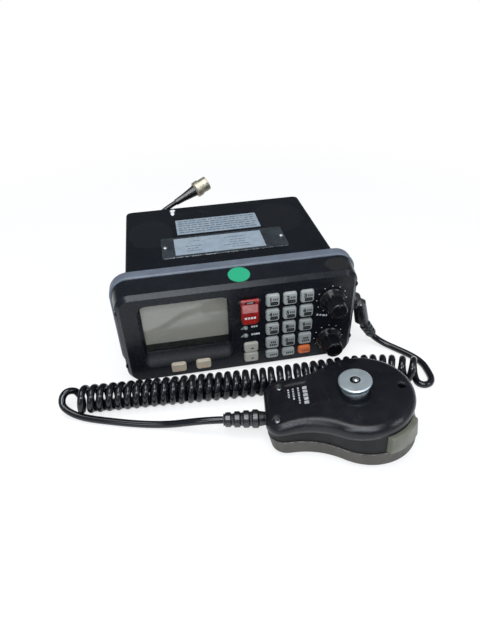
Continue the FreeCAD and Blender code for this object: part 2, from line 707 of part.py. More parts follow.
def knob(z):
    """Skirted knob with a tapered waist and a fluted grip."""
    skirt = KNOB_SKIRT_T
    profile = [(0, 0), (KNOB_SKIRT_R, 0), (KNOB_SKIRT_R, skirt * 0.6),
               (KNOB_SKIRT_R - 1.0, skirt), (KNOB_WAIST_R, KNOB_WAIST_Y),
               (KNOB_TIP_R, KNOB_LEN - 0.8), (KNOB_TIP_R - 0.8, KNOB_LEN),
               (KNOB_CAP_R, KNOB_LEN), (KNOB_CAP_R, KNOB_LEN - KNOB_CAP_IN),
               (0, KNOB_LEN - KNOB_CAP_IN)]
    body = turned(profile, V(KNOB_X, -KNOB_OFF, z), Y_AXIS * -1)
    flutes = []
    for i in range(KNOB_FLUTES):
        angle = 2 * math.pi * (i + 0.5) / KNOB_FLUTES
        reach = KNOB_WAIST_R + FLUTE_R * 0.45
        x = KNOB_X + reach * math.cos(angle)
        z_flute = z + reach * math.sin(angle)
        flutes.append(rod(FLUTE_R, V(x, -KNOB_OFF - KNOB_WAIST_Y + 1.5, z_flute),
                          V(x, -KNOB_OFF - KNOB_LEN - 1, z_flute)))
    bore = rod(SHAFT_R, V(KNOB_X, 0, z), V(KNOB_X, -KNOB_OFF - SHAFT_IN_KNOB, z))
    return cut(body, flutes + [bore])


# ---------------------------------------------------------------- flange and case
def spigot_size(inset):
    """Outer size of the tongue that fits inside the case, less an inset."""
    wall = CASE_WALL + SEAT_GAP + inset
    return (-CASE_W / 2 + wall, CASE_W / 2 - wall, wall, CASE_H - wall)


def mounting_flange():
    half = FLANGE_W / 2
    edge = FLANGE_EDGE
    nose = rect_wire(edge - half, half - edge, edge, FLANGE_H - edge, FLANGE_R - edge, PANEL_D)
    rim = rect_wire(-half, half, 0, FLANGE_H, FLANGE_R, PANEL_D + edge)
    ring = loft([nose, rim]).fuse(rounded_block(-half, half, PANEL_D + edge, FLANGE_BACK,
                                                0, FLANGE_H, FLANGE_R))
    x0, x1, z0, z1 = spigot_size(0)
    tongue = rounded_block(x0, x1, FLANGE_BACK - 2 * REBATE, FLANGE_BACK + SPIGOT_L, z0, z1,
                           CASE_EDGE_R)
    x0, x1, z0, z1 = spigot_size(SPIGOT_T)
    opening = rounded_block(x0, x1, PANEL_D - 1, FLANGE_BACK + SPIGOT_L + 1, z0, z1, CASE_EDGE_R)
    grow = CASE_W / 2 + REBATE_GAP
    rebate = rounded_block(-grow, grow, FLANGE_BACK - REBATE, FLANGE_BACK + 1, -1,
                           CASE_H + REBATE_GAP, CASE_EDGE_R + REBATE_GAP)
    body = fuse([ring.cut(rebate), tongue]).cut(opening)
    blocks = []
    holes = []
    for side in (-1, 1):
        for z in SIDE_SCREW_Z:
            inner = side * (CASE_W / 2 - CASE_WALL - SEAT_GAP - SCREW_L)
            outer = side * (CASE_W / 2 - CASE_WALL - SEAT_GAP - SPIGOT_T / 2)
            y = FLANGE_BACK + SIDE_SCREW_BACK
            blocks.append(box(min(inner, outer), max(inner, outer), FLANGE_BACK,
                              FLANGE_BACK + SPIGOT_L, z - SCREW_BOSS_R, z + SCREW_BOSS_R))
            holes.append(rod(SCREW_R, V(side * CASE_W / 2, y, z),
                             V(side * (CASE_W / 2 - SCREW_L), y, z)))
        for z in FLANGE_SCREW_Z:
            x = side * FLANGE_SCREW_X
            seat = PANEL_D + FLANGE_SEAT
            holes.append(rod(SCREW_R, V(x, PANEL_D - 1, z), V(x, FLANGE_BACK, z)))
            holes.append(rod(SCREW_HEAD_R + HEAD_GAP, V(x, seat, z), V(x, FLANGE_BACK + 1, z)))
    return cut(fuse([body] + blocks), holes)


def case_form(inset, y0, y1):
    """Box with soft long edges and large rear corners seen from above."""
    half = CASE_W / 2 - inset
    along = rounded_block(-half, half, y0, y1, inset, CASE_H - inset, CASE_EDGE_R)
    r = CASE_REAR_R
    k = r * (1 - math.sqrt(0.5))
    plan = Part.Wire([
        Part.LineSegment(V(-half, y0, 0), V(half, y0, 0)).toShape(),
        Part.LineSegment(V(half, y0, 0), V(half, y1 - r, 0)).toShape(),
        Part.Arc(V(half, y1 - r, 0), V(half - k, y1 - k, 0), V(half - r, y1, 0)).toShape(),
        Part.LineSegment(V(half - r, y1, 0), V(r - half, y1, 0)).toShape(),
        Part.Arc(V(r - half, y1, 0), V(k - half, y1 - k, 0), V(-half, y1 - r, 0)).toShape(),
        Part.LineSegment(V(-half, y1 - r, 0), V(-half, y0, 0)).toShape(),
    ])
    return along.common(Part.Face(plan).extrude(V(0, 0, CASE_H)))


def main_board_corners():
    """Fixing points of the main board."""
    y_mid = FLANGE_BACK + CASE_L / 2
    points = []
    for x in (-1, 1):
        for y in (-1, 1):
            points.append((x * (MAIN_BOARD_W / 2 - 5), y_mid + y * (MAIN_BOARD_L / 2 - 5)))
    return points


def plate_screw_points():
    reach = PLATE[0] / 2 - PLATE_SCREW_IN
    return [V(PLATE_X - reach, PLATE_Y, CASE_H), V(PLATE_X + reach, PLATE_Y, CASE_H)]


def bracket_points():
    """Centres of the two bracket holes in each side wall."""
    y_mid = ORIGIN.y
    return [(side, y_mid + step * BRACKET_PITCH / 2) for side in (-1, 1) for step in (-1, 1)]


def case_shell():
    shell = case_form(0, FLANGE_BACK - REBATE, CASE_BACK).cut(
        case_form(CASE_WALL, FLANGE_BACK - 2 * REBATE, CASE_BACK - CASE_WALL))
    solids = [shell]
    for x, y in main_board_corners():
        solids.append(rod(BOSS_R, V(x, y, CASE_WALL / 2), V(x, y, MAIN_BOARD_Z)))
    for point in plate_screw_points():
        solids.append(rod(SCREW_BOSS_R, point - Z_AXIS * SCREW_L, point - Z_AXIS * (CASE_WALL / 2)))
    for side, y in bracket_points():
        wall = side * CASE_W / 2
        solids.append(rod(BRACKET_BOSS_R, V(wall - side * BRACKET_D, y, CASE_H / 2),
                          V(wall - side * CASE_WALL / 2, y, CASE_H / 2)))
    body = fuse(solids)
    holes = []
    for point in plate_screw_points():
        holes.append(rod(SCREW_R, point - Z_AXIS * (SCREW_L - PLATE[2]), point + Z_AXIS))
    for side, y in bracket_points():
        wall = side * CASE_W / 2
        holes.append(rod(BRACKET_R, V(wall - side * (BRACKET_D + 1), y, CASE_H / 2),
                         V(wall + side, y, CASE_H / 2)))
    for side in (-1, 1):
        for z in SIDE_SCREW_Z:
            y = FLANGE_BACK + SIDE_SCREW_BACK
            holes.append(rod(SCREW_R, V(side * (CASE_W / 2 - CASE_WALL - 1), y, z),
                             V(side * (CASE_W / 2 + 1), y, z)))
    holes.append(rod(GLAND_R, V(ANT_X, CASE_BACK - CASE_WALL - 1, ANT_Z),
                     V(ANT_X, CASE_BACK + 1, ANT_Z)))
    holes.append(rod(INLET_CUP_R, V(INLET_X, CASE_BACK - CASE_WALL - 1, INLET_Z),
                     V(INLET_X, CASE_BACK + 1, INLET_Z)))
    return cut(body, holes)


def main_board():
    """Circuit board on its four bosses, with the shielded transceiver block on it."""
    y_mid = FLANGE_BACK + CASE_L / 2
    half_w = MAIN_BOARD_W / 2
    half_l = MAIN_BOARD_L / 2
    board = box(-half_w, half_w, y_mid - half_l, y_mid + half_l,
                MAIN_BOARD_Z, MAIN_BOARD_Z + BOARD_T)
    top = MAIN_BOARD_Z + BOARD_T
    shield = box(-SHIELD[0] / 2, SHIELD[0] / 2, y_mid - SHIELD[1] / 2, y_mid + SHIELD[1] / 2,
                 top, top + SHIELD[2])
    return group([board, shield])


def case_screws():
    """Ten pan-head screws of one size: flange to panel, case to flange, nameplate."""
    screws = []
    for side in (-1, 1):
        for z in FLANGE_SCREW_Z:
            seat = V(side * FLANGE_SCREW_X, PANEL_D + FLANGE_SEAT, z)
            screws.append(screw(seat, Y_AXIS * -1))
        for z in SIDE_SCREW_Z:
            seat = V(side * CASE_W / 2, FLANGE_BACK + SIDE_SCREW_BACK, z)
            screws.append(screw(seat, X_AXIS * -side))
    for point in plate_screw_points():
        screws.append(screw(point + Z_AXIS * PLATE[2], Z_AXIS * -1))
    return group(screws)


def nameplate():
    length, width, thick = PLATE
    plate = box(PLATE_X - length / 2, PLATE_X + length / 2, PLATE_Y - width / 2,
                PLATE_Y + width / 2, CASE_H, CASE_H + thick)
    corners = [edge for edge in plate.Edges
               if abs(edge.Vertexes[0].Point.z - edge.Vertexes[-1].Point.z) > thick / 2]
    plate = plate.makeFillet(2.0, corners)
    holes = [rod(SCREW_R, point - Z_AXIS, point + Z_AXIS * (thick + 1))
             for point in plate_screw_points()]
    return cut(plate, holes)


def paper(size, x, y, z):
    """Bare paper sheet lying flat on the top."""
    return box(x - size[0] / 2, x + size[0] / 2, y - size[1] / 2, y + size[1] / 2, z, z + PAPER_T)


def labels():
    """Bare labels: on the nameplate, on the case behind it, and a dot on the panel's top."""
    lower = paper(LOWER_LABEL, LOWER_LABEL_X, PLATE_Y, CASE_H + PLATE[2])
    upper = paper(UPPER_LABEL, UPPER_LABEL_X, UPPER_LABEL_Y, CASE_H)
    slope = math.radians(TOP_SLOPE)
    rise = math.tan(slope) * (DOT_Y - RIM_D)
    normal = V(0, -math.sin(slope), math.cos(slope))
    dot = Part.makeCylinder(DOT_R, PAPER_T, V(DOT_X, DOT_Y, RIM_HIGH + rise), normal)
    return group([lower, upper, dot])


# ---------------------------------------------------------------- rear
def rear_heatsink():
    width, height, base = HEATSINK
    x0 = CASE_W / 2 - HEATSINK_IN - width / 2
    z0 = HEATSINK_Z - height / 2
    solids = [box(x0, x0 + width, CASE_BACK, CASE_BACK + base, z0, z0 + height)]
    pitch = (width - FIN_T) / (FIN_COUNT - 1)
    for i in range(FIN_COUNT):
        x = x0 + i * pitch
        solids.append(box(x, x + FIN_T, CASE_BACK + base / 2, CASE_BACK + base + FIN_L,
                          z0, z0 + height))
    return fuse(solids)


def power_inlet():
    """Round power socket in the rear wall, with two short pins in its cup."""
    base = V(INLET_X, CASE_BACK, INLET_Z)
    cup = turned([(0, 0), (INLET_R + 2, 0), (INLET_R + 2, 2), (INLET_R, 2), (INLET_R, INLET_L),
                  (INLET_CUP_R - 0.6, INLET_L), (INLET_CUP_R - 0.6, 1.5), (0, 1.5)], base, Y_AXIS)
    plug_hole = rod(INLET_CUP_R, V(INLET_X, CASE_BACK - CASE_WALL - 2, INLET_Z),
                    V(INLET_X, CASE_BACK + 0.5, INLET_Z))
    pins = [rod(INLET_PIN_R, V(INLET_X + dx, CASE_BACK + 1, INLET_Z),
                V(INLET_X + dx, CASE_BACK + 1.5 + INLET_PIN_L, INLET_Z)) for dx in (-3, 3)]
    return fuse([cup, plug_hole] + pins)


# Antenna lead: out of the gland, up and round to the right, to the jack above the rear edge
ANTENNA_STEPS = ((0, 0, 0), (0, 11, 0.5), (5, 18, 9), (16, 21, 16), (27, 25, 20))
ANTENNA_ROUTE = [V(ANT_X + x, CASE_BACK + GLAND_L + y, ANT_Z + z) for x, y, z in ANTENNA_STEPS]
BOOT_L = 26.0
BOOT_START_R = 3.4
BOOT_END_R = 6.2
JACK_R = 7.94
JACK_BODY_L = 7.0
JACK_THREAD_L = 10.0
JACK_BORE_R = 2.0


def antenna_direction():
    direction = ANTENNA_ROUTE[-1] - ANTENNA_ROUTE[-2]
    return direction.normalize()


def antenna_gland():
    base = V(ANT_X, CASE_BACK - CASE_WALL - 4, ANT_Z)
    wall = CASE_WALL + 4
    body = turned([(ANT_CABLE_R, 0), (GLAND_NUT_R, 0), (GLAND_NUT_R, 4), (GLAND_R, 4),
                   (GLAND_R, wall), (GLAND_NUT_R, wall), (GLAND_NUT_R, wall + 4),
                   (GLAND_NUT_R - 2.5, wall + GLAND_L), (ANT_CABLE_R, wall + GLAND_L)],
                  base, Y_AXIS)
    return body


def antenna_boot():
    start = ANTENNA_ROUTE[-1]
    profile = [(0, 0), (BOOT_START_R, 0), (BOOT_START_R + 0.8, BOOT_L * 0.4),
               (BOOT_END_R, BOOT_L), (0, BOOT_L)]
    return turned(profile, start, antenna_direction())


def antenna_jack():
    """Screw-on coaxial jack: knurled collar, threaded sleeve and its centre contact hole."""
    start = ANTENNA_ROUTE[-1] + antenna_direction() * BOOT_L
    body = JACK_BODY_L
    full = JACK_BODY_L + JACK_THREAD_L
    profile = [(0, 0), (BOOT_END_R + 0.6, 0), (JACK_R + 0.9, 1.5), (JACK_R + 0.9, body),
               (JACK_R, body), (JACK_R, full), (JACK_R - 1.6, full), (JACK_R - 1.6, full - 3),
               (JACK_BORE_R, full - 3), (JACK_BORE_R, body), (0, body)]
    return turned(profile, start, antenna_direction())


# ---------------------------------------------------------------- microphone cord
# The coiled stretch, then the two plain leads: points chosen along the lie of the cord
PLUG_LEAD_IN = RELIEF_END + (BOOT_END - RELIEF_END).normalize() * 4.0
COIL_ROUTE = [V(-147.0, -22.3, 12.3), V(-70.0, -27.5, 12.3), V(20.0, -34.0, 12.3),
              V(84.0, -33.1, 12.3), V(122.0, -36.5, 12.3), V(151.5, -48.5, 12.3)]
PLUG_LEAD_ROUTE = [PLUG_LEAD_IN, V(130.9, 9.3, 8.8), V(139.0, 3.0, 4.4), V(148.5, -6.5, 3.2),
                   V(157.5, -17.5, 3.2), V(164.3, -31.0, 3.2), V(163.5, -43.5, 3.2),
                   V(157.8, -53.2, 3.6), V(148.0, -50.6, 6.0)]
MIC_LEAD_ROUTE = [V(-146.0, -18.8, 19.6), V(-153.6, -16.8, 19.6), V(-159.6, -18.4, 14.4),
                  V(-159.0, -24.2, 8.8), V(-151.5, -30.6, 5.0), V(-139.5, -36.6, 3.3),
                  V(-121.0, -43.4, 3.2), V(-96.0, -51.8, 3.2), V(-71.0, -58.3, 4.2)]


def mic_frame():
    """Placement of the microphone's own u, v, w frame."""
    return FreeCAD.Placement(V(MIC_X, MIC_Y, 0), FreeCAD.Rotation(Z_AXIS, MIC_TURN))


def mic_lead_end():
    """The last two points: along the strain relief's axis to its end."""
    place = mic_frame()
    mouth = -MIC_RELIEF_L - LEAD_GAP
    return [place.multVec(V(mouth - MIC_LEAD_STRAIGHT, 0, MIC_RELIEF_W)),
            place.multVec(V(mouth, 0, MIC_RELIEF_W))]


def plug_body():
    """Right-angle plug: cone on the socket, slanted boot with a bevelled crown, ringed relief."""
    axis = (BOOT_END - BOOT_TOP).normalize()
    length = (BOOT_END - BOOT_TOP).Length
    face = V(SOCKET_BOSS_X + SOCKET_NUT_T, SOCKET_Y, SOCKET_Z)
    across = BOOT_TOP.x - face.x
    collar = turned([(0, 0), (PLUG_COLLAR_R, 0), (PLUG_COLLAR_R, 1), (BOOT_NECK_R, across),
                     (0, across)], face, X_AXIS)
    crown = BOOT_NECK_R - BOOT_BEVEL
    boot = turned([(0, 0), (crown, 0), (BOOT_NECK_R, BOOT_BEVEL), (BOOT_R, length),
                   (RELIEF_R, length + 2), (0, length + 2)], BOOT_TOP, axis)
    relief_axis = (RELIEF_END - BOOT_END).normalize()
    relief_length = (RELIEF_END - BOOT_END).Length
    solids = [collar, boot, rod(RELIEF_R, BOOT_END, RELIEF_END)]
    pitch = (relief_length - BOOT_R) / RING_COUNT
    for i in range(RING_COUNT):
        start = BOOT_END + relief_axis * (BOOT_R + i * pitch)
        solids.append(rod(RING_R - RING_STEP * i, start, start + relief_axis * (pitch * RING_SHARE)))
    behind_face = box(0, face.x, 0, PANEL_D, 0, FACE_TOP)
    return fuse(solids).cut(behind_face)


def mic_socket():
    """Round socket behind the panel's side wall; its face stands proud of the boss."""
    inner = V(RIM_HALF - 7, SOCKET_Y, SOCKET_Z)
    face = V(SOCKET_BOSS_X, SOCKET_Y, SOCKET_Z)
    nut = rod(SOCKET_NUT_R, face, face + X_AXIS * SOCKET_NUT_T)
    return fuse([rod(SOCKET_R, inner, face), nut])


# ---------------------------------------------------------------- microphone
def mic_outline(inset):
    """Closed outline in the u, v plane: rounded tail, hollow waist and round head."""
    slope = math.radians(MIC_TAIL_SLOPE)
    along = V(math.cos(slope), -math.sin(slope), 0)
    outward = V(math.sin(slope), math.cos(slope), 0)
    head = V(MIC_HEAD_U, 0, 0)
    corner = V(MIC_TAIL_R, MIC_TAIL_HALF - MIC_TAIL_R, 0)
    side_start = corner + outward * MIC_TAIL_R
    # the waist's arc leaves the side's end and touches the head's circle
    waist_start = side_start + along * MIC_SIDE_L
    reach = waist_start - head
    waist_full = (reach.dot(reach) - MIC_HEAD_R ** 2) / (2 * (MIC_HEAD_R - reach.dot(outward)))
    waist = waist_start + outward * waist_full
    to_waist = (waist - head).normalize()
    tail_r = MIC_TAIL_R - inset
    waist_r = waist_full + inset
    head_r = MIC_HEAD_R - inset
    half = math.radians(45) + slope / 2
    p_end = V(inset, corner.y, 0)
    p_corner_mid = corner + V(-math.cos(half), math.sin(half), 0) * tail_r
    p_side = corner + outward * tail_r
    p_waist_in = waist - outward * waist_r
    p_waist_out = waist - to_waist * waist_r
    mid_dir = (outward + to_waist).normalize()
    p_waist_mid = waist - mid_dir * waist_r
    p_head_end = head + V(head_r, 0, 0)
    top_angle = math.atan2(to_waist.y, to_waist.x) / 2
    p_head_mid = head + V(math.cos(top_angle), math.sin(top_angle), 0) * head_r

    def flip(p):
        return V(p.x, -p.y, p.z)

    upper = [Part.Arc(p_end, p_corner_mid, p_side), Part.LineSegment(p_side, p_waist_in),
             Part.Arc(p_waist_in, p_waist_mid, p_waist_out),
             Part.Arc(p_waist_out, p_head_mid, p_head_end)]
    lower = [Part.Arc(p_head_end, flip(p_head_mid), flip(p_waist_out)),
             Part.Arc(flip(p_waist_out), flip(p_waist_mid), flip(p_waist_in)),
             Part.LineSegment(flip(p_waist_in), flip(p_side)),
             Part.Arc(flip(p_side), flip(p_corner_mid), flip(p_end)),
             Part.LineSegment(flip(p_end), p_end)]
    return Part.Wire([curve.toShape() for curve in upper + lower])


def mic_block(inset, w0, w1):
    wire = mic_outline(inset)
    wire.translate(V(0, 0, w0))
    return Part.Face(wire).extrude(V(0, 0, w1 - w0))


def mic_slab(lower, upper):
    """Prism across the microphone between two straight side-view lines."""
    wide = MIC_HEAD_R * 1.5
    ends = [V(u, -wide, w) for u, w in lower + upper[::-1]]
    return Part.Face(Part.makePolygon(ends + ends[:1])).extrude(V(0, 2 * wide, 0))


def top_arc(drop):
    """Arched top of the microphone in the side view, less a thickness."""
    return Part.Arc(V(0, 0, MIC_TOP_TAIL - drop), V(MIC_L / 2, 0, MIC_TOP_MID - drop),
                    V(MIC_L, 0, MIC_TOP_HEAD - drop)).toShape()


def mic_crown(drop):
    """All that lies below the top: arched lengthways and crowned across, less a thickness."""
    arc = top_arc(drop)
    floor = -MIC_TOP_HEAD
    sole = [arc.Vertexes[-1].Point, V(MIC_L, 0, floor), V(0, 0, floor), arc.Vertexes[0].Point]
    face = Part.Face(Part.Wire([arc, Part.makePolygon(sole)]))
    axis = V(0, 0, -MIC_CROWN_DEPTH)
    half = math.degrees(math.asin(MIC_HEAD_R * 1.5 / MIC_CROWN_DEPTH))
    face.rotate(axis, X_AXIS, -half)
    return face.revolve(axis, X_AXIS, 2 * half)


def split_line():
    return [(0, MIC_SPLIT_TAIL), (MIC_L, MIC_SPLIT_HEAD)]


def above_split():
    return mic_slab(split_line(), [(0, 2 * MIC_TOP_HEAD), (MIC_L, 2 * MIC_TOP_HEAD)])


def split_height(u):
    return MIC_SPLIT_TAIL + (MIC_SPLIT_HEAD - MIC_SPLIT_TAIL) * u / MIC_L


def leaned_u(u, w):
    """Where a point of the outline ends up lengthways at the height w."""
    return u + MIC_LEAN * (split_height(u) - w)


def lean(shape):
    """Lean an upright form so that its walls step out lengthways below the back shell."""
    matrix = FreeCAD.Matrix()
    matrix.A11 = leaned_u(1, 0) - leaned_u(0, 0)
    matrix.A13 = leaned_u(0, 1) - leaned_u(0, 0)
    matrix.A14 = leaned_u(0, 0)
    return shape.transformGeometry(matrix)


def top_height(u):
    """Height of the arched top above u, from the circle through its three points."""
    plumb = Part.LineSegment(V(u, 0, 0), V(u, 0, 2 * MIC_TOP_HEAD)).toShape()
    return top_arc(0).distToShape(plumb)[1][0][0].z


def hang_axis():
    """Point on the top under the hang-up button, and the top's slope there in degrees."""
    step = 1.0
    rise = top_height(HANG_U + step) - top_height(HANG_U - step)
    slope = math.atan2(rise, 2 * step)
    base = V(HANG_U, HANG_V, top_height(HANG_U))
    return base, V(-math.sin(slope), 0, math.cos(slope))


def radial_box(inner, outer, width, low, high):
    """Box along the head's radius at the push-to-talk button, from one radius to another."""
    block = box(inner, outer, -width / 2, width / 2, low, high)
    head = V(MIC_HEAD_U, 0, 0)
    block.Placement = FreeCAD.Placement(head, FreeCAD.Rotation(Z_AXIS, PTT_ANGLE))
    return block


def ptt_window():
    """Hole in the band for the button, with the button's whole travel behind it."""
    return radial_box(PTT_IN - PTT_TRAVEL, 2 * PTT_OUT, PTT_W + 2 * PTT_GAP,
                      PTT_LOW - PTT_GAP, PTT_LOW + PTT_H + PTT_GAP)


def screw_top(u):
    """Height of a microphone screw's head seat: just under the top, or deep in the head."""
    if u > MIC_L / 2:
        return split_height(u) - 3.0
    return top_height(u) - SCREW_HEAD_T - 0.6


def mic_back_shell():
    """Glossy black half with the arched, rounded top, hollow from below."""
    above = above_split()
    outside = mic_block(0, 0, 2 * MIC_TOP_HEAD).common(mic_crown(0)).common(above)
    rim = [edge for edge in outside.Edges if min(v.Point.z - split_height(v.Point.x)
                                                 for v in edge.Vertexes) > 1.0
           and abs(edge.tangentAt(edge.FirstParameter).z) < 0.5]
    outside = outside.makeFillet(MIC_TOP_FILLET, rim)
    inside = mic_block(MIC_WALL + MIC_BAND_IN, 0, 2 * MIC_TOP_HEAD).common(mic_crown(MIC_WALL))
    body = outside.cut(inside)
    posts = []
    holes = []
    for u, v in MIC_SCREW_UV:
        seat = screw_top(u)
        split = split_height(u) + 0.2
        post = rod(MIC_SCREW_HEAD_R + 2.0, V(u, v, split), V(u, v, top_height(u) - 1.0))
        posts.append(post.common(mic_crown(0.5)).common(above))
        holes.append(rod(MIC_SCREW_R, V(u, v, 0), V(u, v, seat + 1)))
        holes.append(rod(MIC_SCREW_HEAD_R + HEAD_GAP, V(u, v, seat), V(u, v, 2 * MIC_TOP_HEAD)))
    holes.append(mic_label_field())
    base, axis = hang_axis()
    posts.append(rod(HANG_SCREW_R + 2.5, base - axis * 7, base - axis * 1))
    holes.append(rod(HANG_FLANGE_R + 0.2, base - axis * HANG_SEAT, base + axis * 5))
    holes.append(rod(HANG_SCREW_R, base - axis * 8, base + axis))
    return cut(fuse([body] + posts), holes)


def mic_label_field():
    """Shallow field with rounded corners, as deep all over below the arched top."""
    u0, u1 = MIC_LABEL_U
    v0, v1 = MIC_LABEL_V
    prism = box(u0, u1, v0, v1, 0, 2 * MIC_TOP_HEAD)
    upright = [edge for edge in prism.Edges if abs(edge.tangentAt(edge.FirstParameter).z) > 0.9]
    prism = prism.makeFillet(MIC_LABEL_R, upright)
    return prism.cut(mic_crown(MIC_LABEL_IN))


def mic_relief_hole(radius):
    return rod(radius, V(-MIC_TRAY_WALL, 0, MIC_RELIEF_W), V(2 * MIC_TRAY_WALL, 0, MIC_RELIEF_W))


def mic_band():
    """Middle ring between the two shells, with the windows for the button and the cord."""
    outside = lean(mic_block(MIC_BAND_IN, 0, 2 * MIC_TOP_HEAD))
    inside = lean(mic_block(MIC_BAND_IN + MIC_WALL, 0, 2 * MIC_TOP_HEAD))
    ring = outside.cut(inside).common(mic_slab([(0, MIC_SEAM_W), (MIC_L, MIC_SEAM_W)],
                                               split_line()))
    return cut(ring, [ptt_window(), mic_relief_hole(MIC_RELIEF_TIP_R)])


def mic_front_shell():
    """Front half: a drafted tray with a bevelled foot, speaking slots and screw posts."""
    waist = raised(mic_outline(MIC_DRAFT_IN), MIC_FOOT_H)
    outside = lean(fuse([loft([mic_outline(MIC_FOOT_IN), waist]),
                         loft([waist, raised(mic_outline(0), MIC_SEAM_W)])]))
    inside = lean(mic_block(MIC_TRAY_WALL, MIC_WALL, MIC_SEAM_W + 1))
    band_room = lean(mic_block(MIC_BAND_IN + MIC_WALL + HEAD_GAP, MIC_SEAM_W, MIC_SPLIT_HEAD))
    solids = [outside.cut(inside)]
    for u, v in MIC_SCREW_UV:
        post_top = min(split_height(u), screw_top(u)) - 0.2
        post = rod(MIC_SCREW_HEAD_R + 1.4, V(u, v, MIC_WALL / 2), V(u, v, post_top))
        solids += [post.common(outside), post.common(band_room)]
    body = fuse(solids)
    holes = []
    for u, v in MIC_SCREW_UV:
        tip = screw_top(u) - MIC_SCREW_L
        holes.append(rod(MIC_SCREW_R, V(u, v, tip), V(u, v, 2 * MIC_TOP_HEAD)))
    head_u = leaned_u(MIC_HEAD_U, 0)
    for i in range(GRILLE_SLOTS):
        offset = (i - (GRILLE_SLOTS - 1) / 2) * GRILLE_PITCH
        half = math.sqrt(GRILLE_R ** 2 - offset ** 2)
        holes.append(box(head_u + offset - GRILLE_SLOT_W / 2, head_u + offset + GRILLE_SLOT_W / 2,
                         -half, half, -1, MIC_WALL + 1))
    holes.append(mic_relief_hole(MIC_RELIEF_TIP_R))
    holes.append(ptt_window())
    return cut(body, holes)


def raised(wire, height):
    wire.translate(V(0, 0, height))
    return wire


def ptt_button():
    """Block through the band's window; its outer face follows the head's round."""
    block = radial_box(PTT_IN, 2 * PTT_OUT, PTT_W, PTT_LOW, PTT_LOW + PTT_H)
    foot = V(leaned_u(MIC_HEAD_U, 0), 0, 0)
    leaning = V(leaned_u(0, 1) - leaned_u(0, 0), 0, 1)
    block = block.common(Part.makeCylinder(PTT_OUT, 2 * MIC_TOP_HEAD, foot, leaning))
    outer = [edge for edge in block.Edges
             if min(math.hypot(v.X - MIC_HEAD_U, v.Y) for v in edge.Vertexes) > PTT_OUT - 1.0]
    return block.makeFillet(PTT_EDGE, outer)


def hangup_button():
    """Turned metal spool that hooks into a hanger clip."""
    base, axis = hang_axis()
    t0 = HANG_FLANGE_T
    t1 = t0 + HANG_GAP
    t2 = t1 + HANG_DISC_T
    profile = [(HANG_SCREW_R, 0), (HANG_FLANGE_R, 0), (HANG_FLANGE_R, t0), (HANG_NECK_R, t0),
               (HANG_NECK_R, t1), (HANG_DISC_R, t1), (HANG_DISC_R, t2 - 0.6),
               (HANG_DISC_R - 0.8, t2), (HANG_SCREW_HEAD_R, t2),
               (HANG_SCREW_R, t2 - HANG_SCREW_HEAD_R + HANG_SCREW_R)]
    return turned(profile, base - axis * HANG_SEAT, axis)


def hangup_screw():
    """Countersunk screw down the middle of the hang-up button."""
    base, axis = hang_axis()
    top = HANG_FLANGE_T + HANG_GAP + HANG_DISC_T
    profile = [(0, 0), (HANG_SCREW_HEAD_R, 0), (HANG_SCREW_R, HANG_SCREW_HEAD_R - HANG_SCREW_R),
               (HANG_SCREW_R, top + 5.0), (0, top + 5.0)]
    return turned(profile, base + axis * (top - HANG_SEAT), axis * -1)


def mic_screws():
    screws = []
    for u, v in MIC_SCREW_UV:
        seat = V(u, v, screw_top(u))
        screws.append(screw(seat, Z_AXIS * -1, MIC_SCREW_R, MIC_SCREW_HEAD_R, MIC_SCREW_L))
    return group(screws)


def mic_relief():
    """Tapered rubber sleeve with raised rings; its neck is held in the shells' tail."""
    length = MIC_RELIEF_L
    base = MIC_RELIEF_BASE_R
    tip = MIC_RELIEF_TIP_R
    neck = length + MIC_NECK_L + SEAT_GAP
    profile = [(0, neck + MIC_RELIEF_LIP), (0, 0), (tip - 0.5, 0)]
    ring = (length - 4.0) / MIC_RELIEF_RINGS
    for i in range(MIC_RELIEF_RINGS):
        grow = (base - tip) * (i + 1) / MIC_RELIEF_RINGS
        start = 1.0 + i * ring
        profile += [(tip + grow - 1.3, start), (tip + grow, start + 0.8),
                    (tip + grow, start + ring * 0.62), (tip + grow - 1.3, start + ring * 0.8)]
    profile += [(tip, length - SEAT_GAP), (tip, neck), (base, neck), (base, neck + MIC_RELIEF_LIP)]
    return turned(profile, V(-length, 0, MIC_RELIEF_W), X_AXIS)


def mic_board():
    """Small circuit board on the front shell's posts, with the switch behind the button."""
    top = MIC_BOARD_W + BOARD_T
    board = lean(mic_block(MIC_TRAY_WALL + MIC_BOARD_GAP, MIC_BOARD_W, top))
    holes = [rod(MIC_SCREW_HEAD_R + 1.5, V(u, v, 0), V(u, v, 2 * MIC_TOP_HEAD))
             for u, v in MIC_SCREW_UV]
    length, width = MIC_BOARD_NOTCH
    holes.append(box(0, length, -width / 2, width / 2, 0, 2 * MIC_TOP_HEAD))
    stop = PTT_IN - PTT_TRAVEL - SEAT_GAP
    switch = radial_box(stop - PTT_SWITCH[0], stop, PTT_SWITCH[1], top, top + PTT_SWITCH[2])
    return cut(board, holes), switch


def mic_capsule():
    """Round speaker-microphone capsule on the inside of the grille."""
    return Part.makeCylinder(CAPSULE_R, CAPSULE_T, V(leaned_u(MIC_HEAD_U, 0), 0, MIC_WALL))


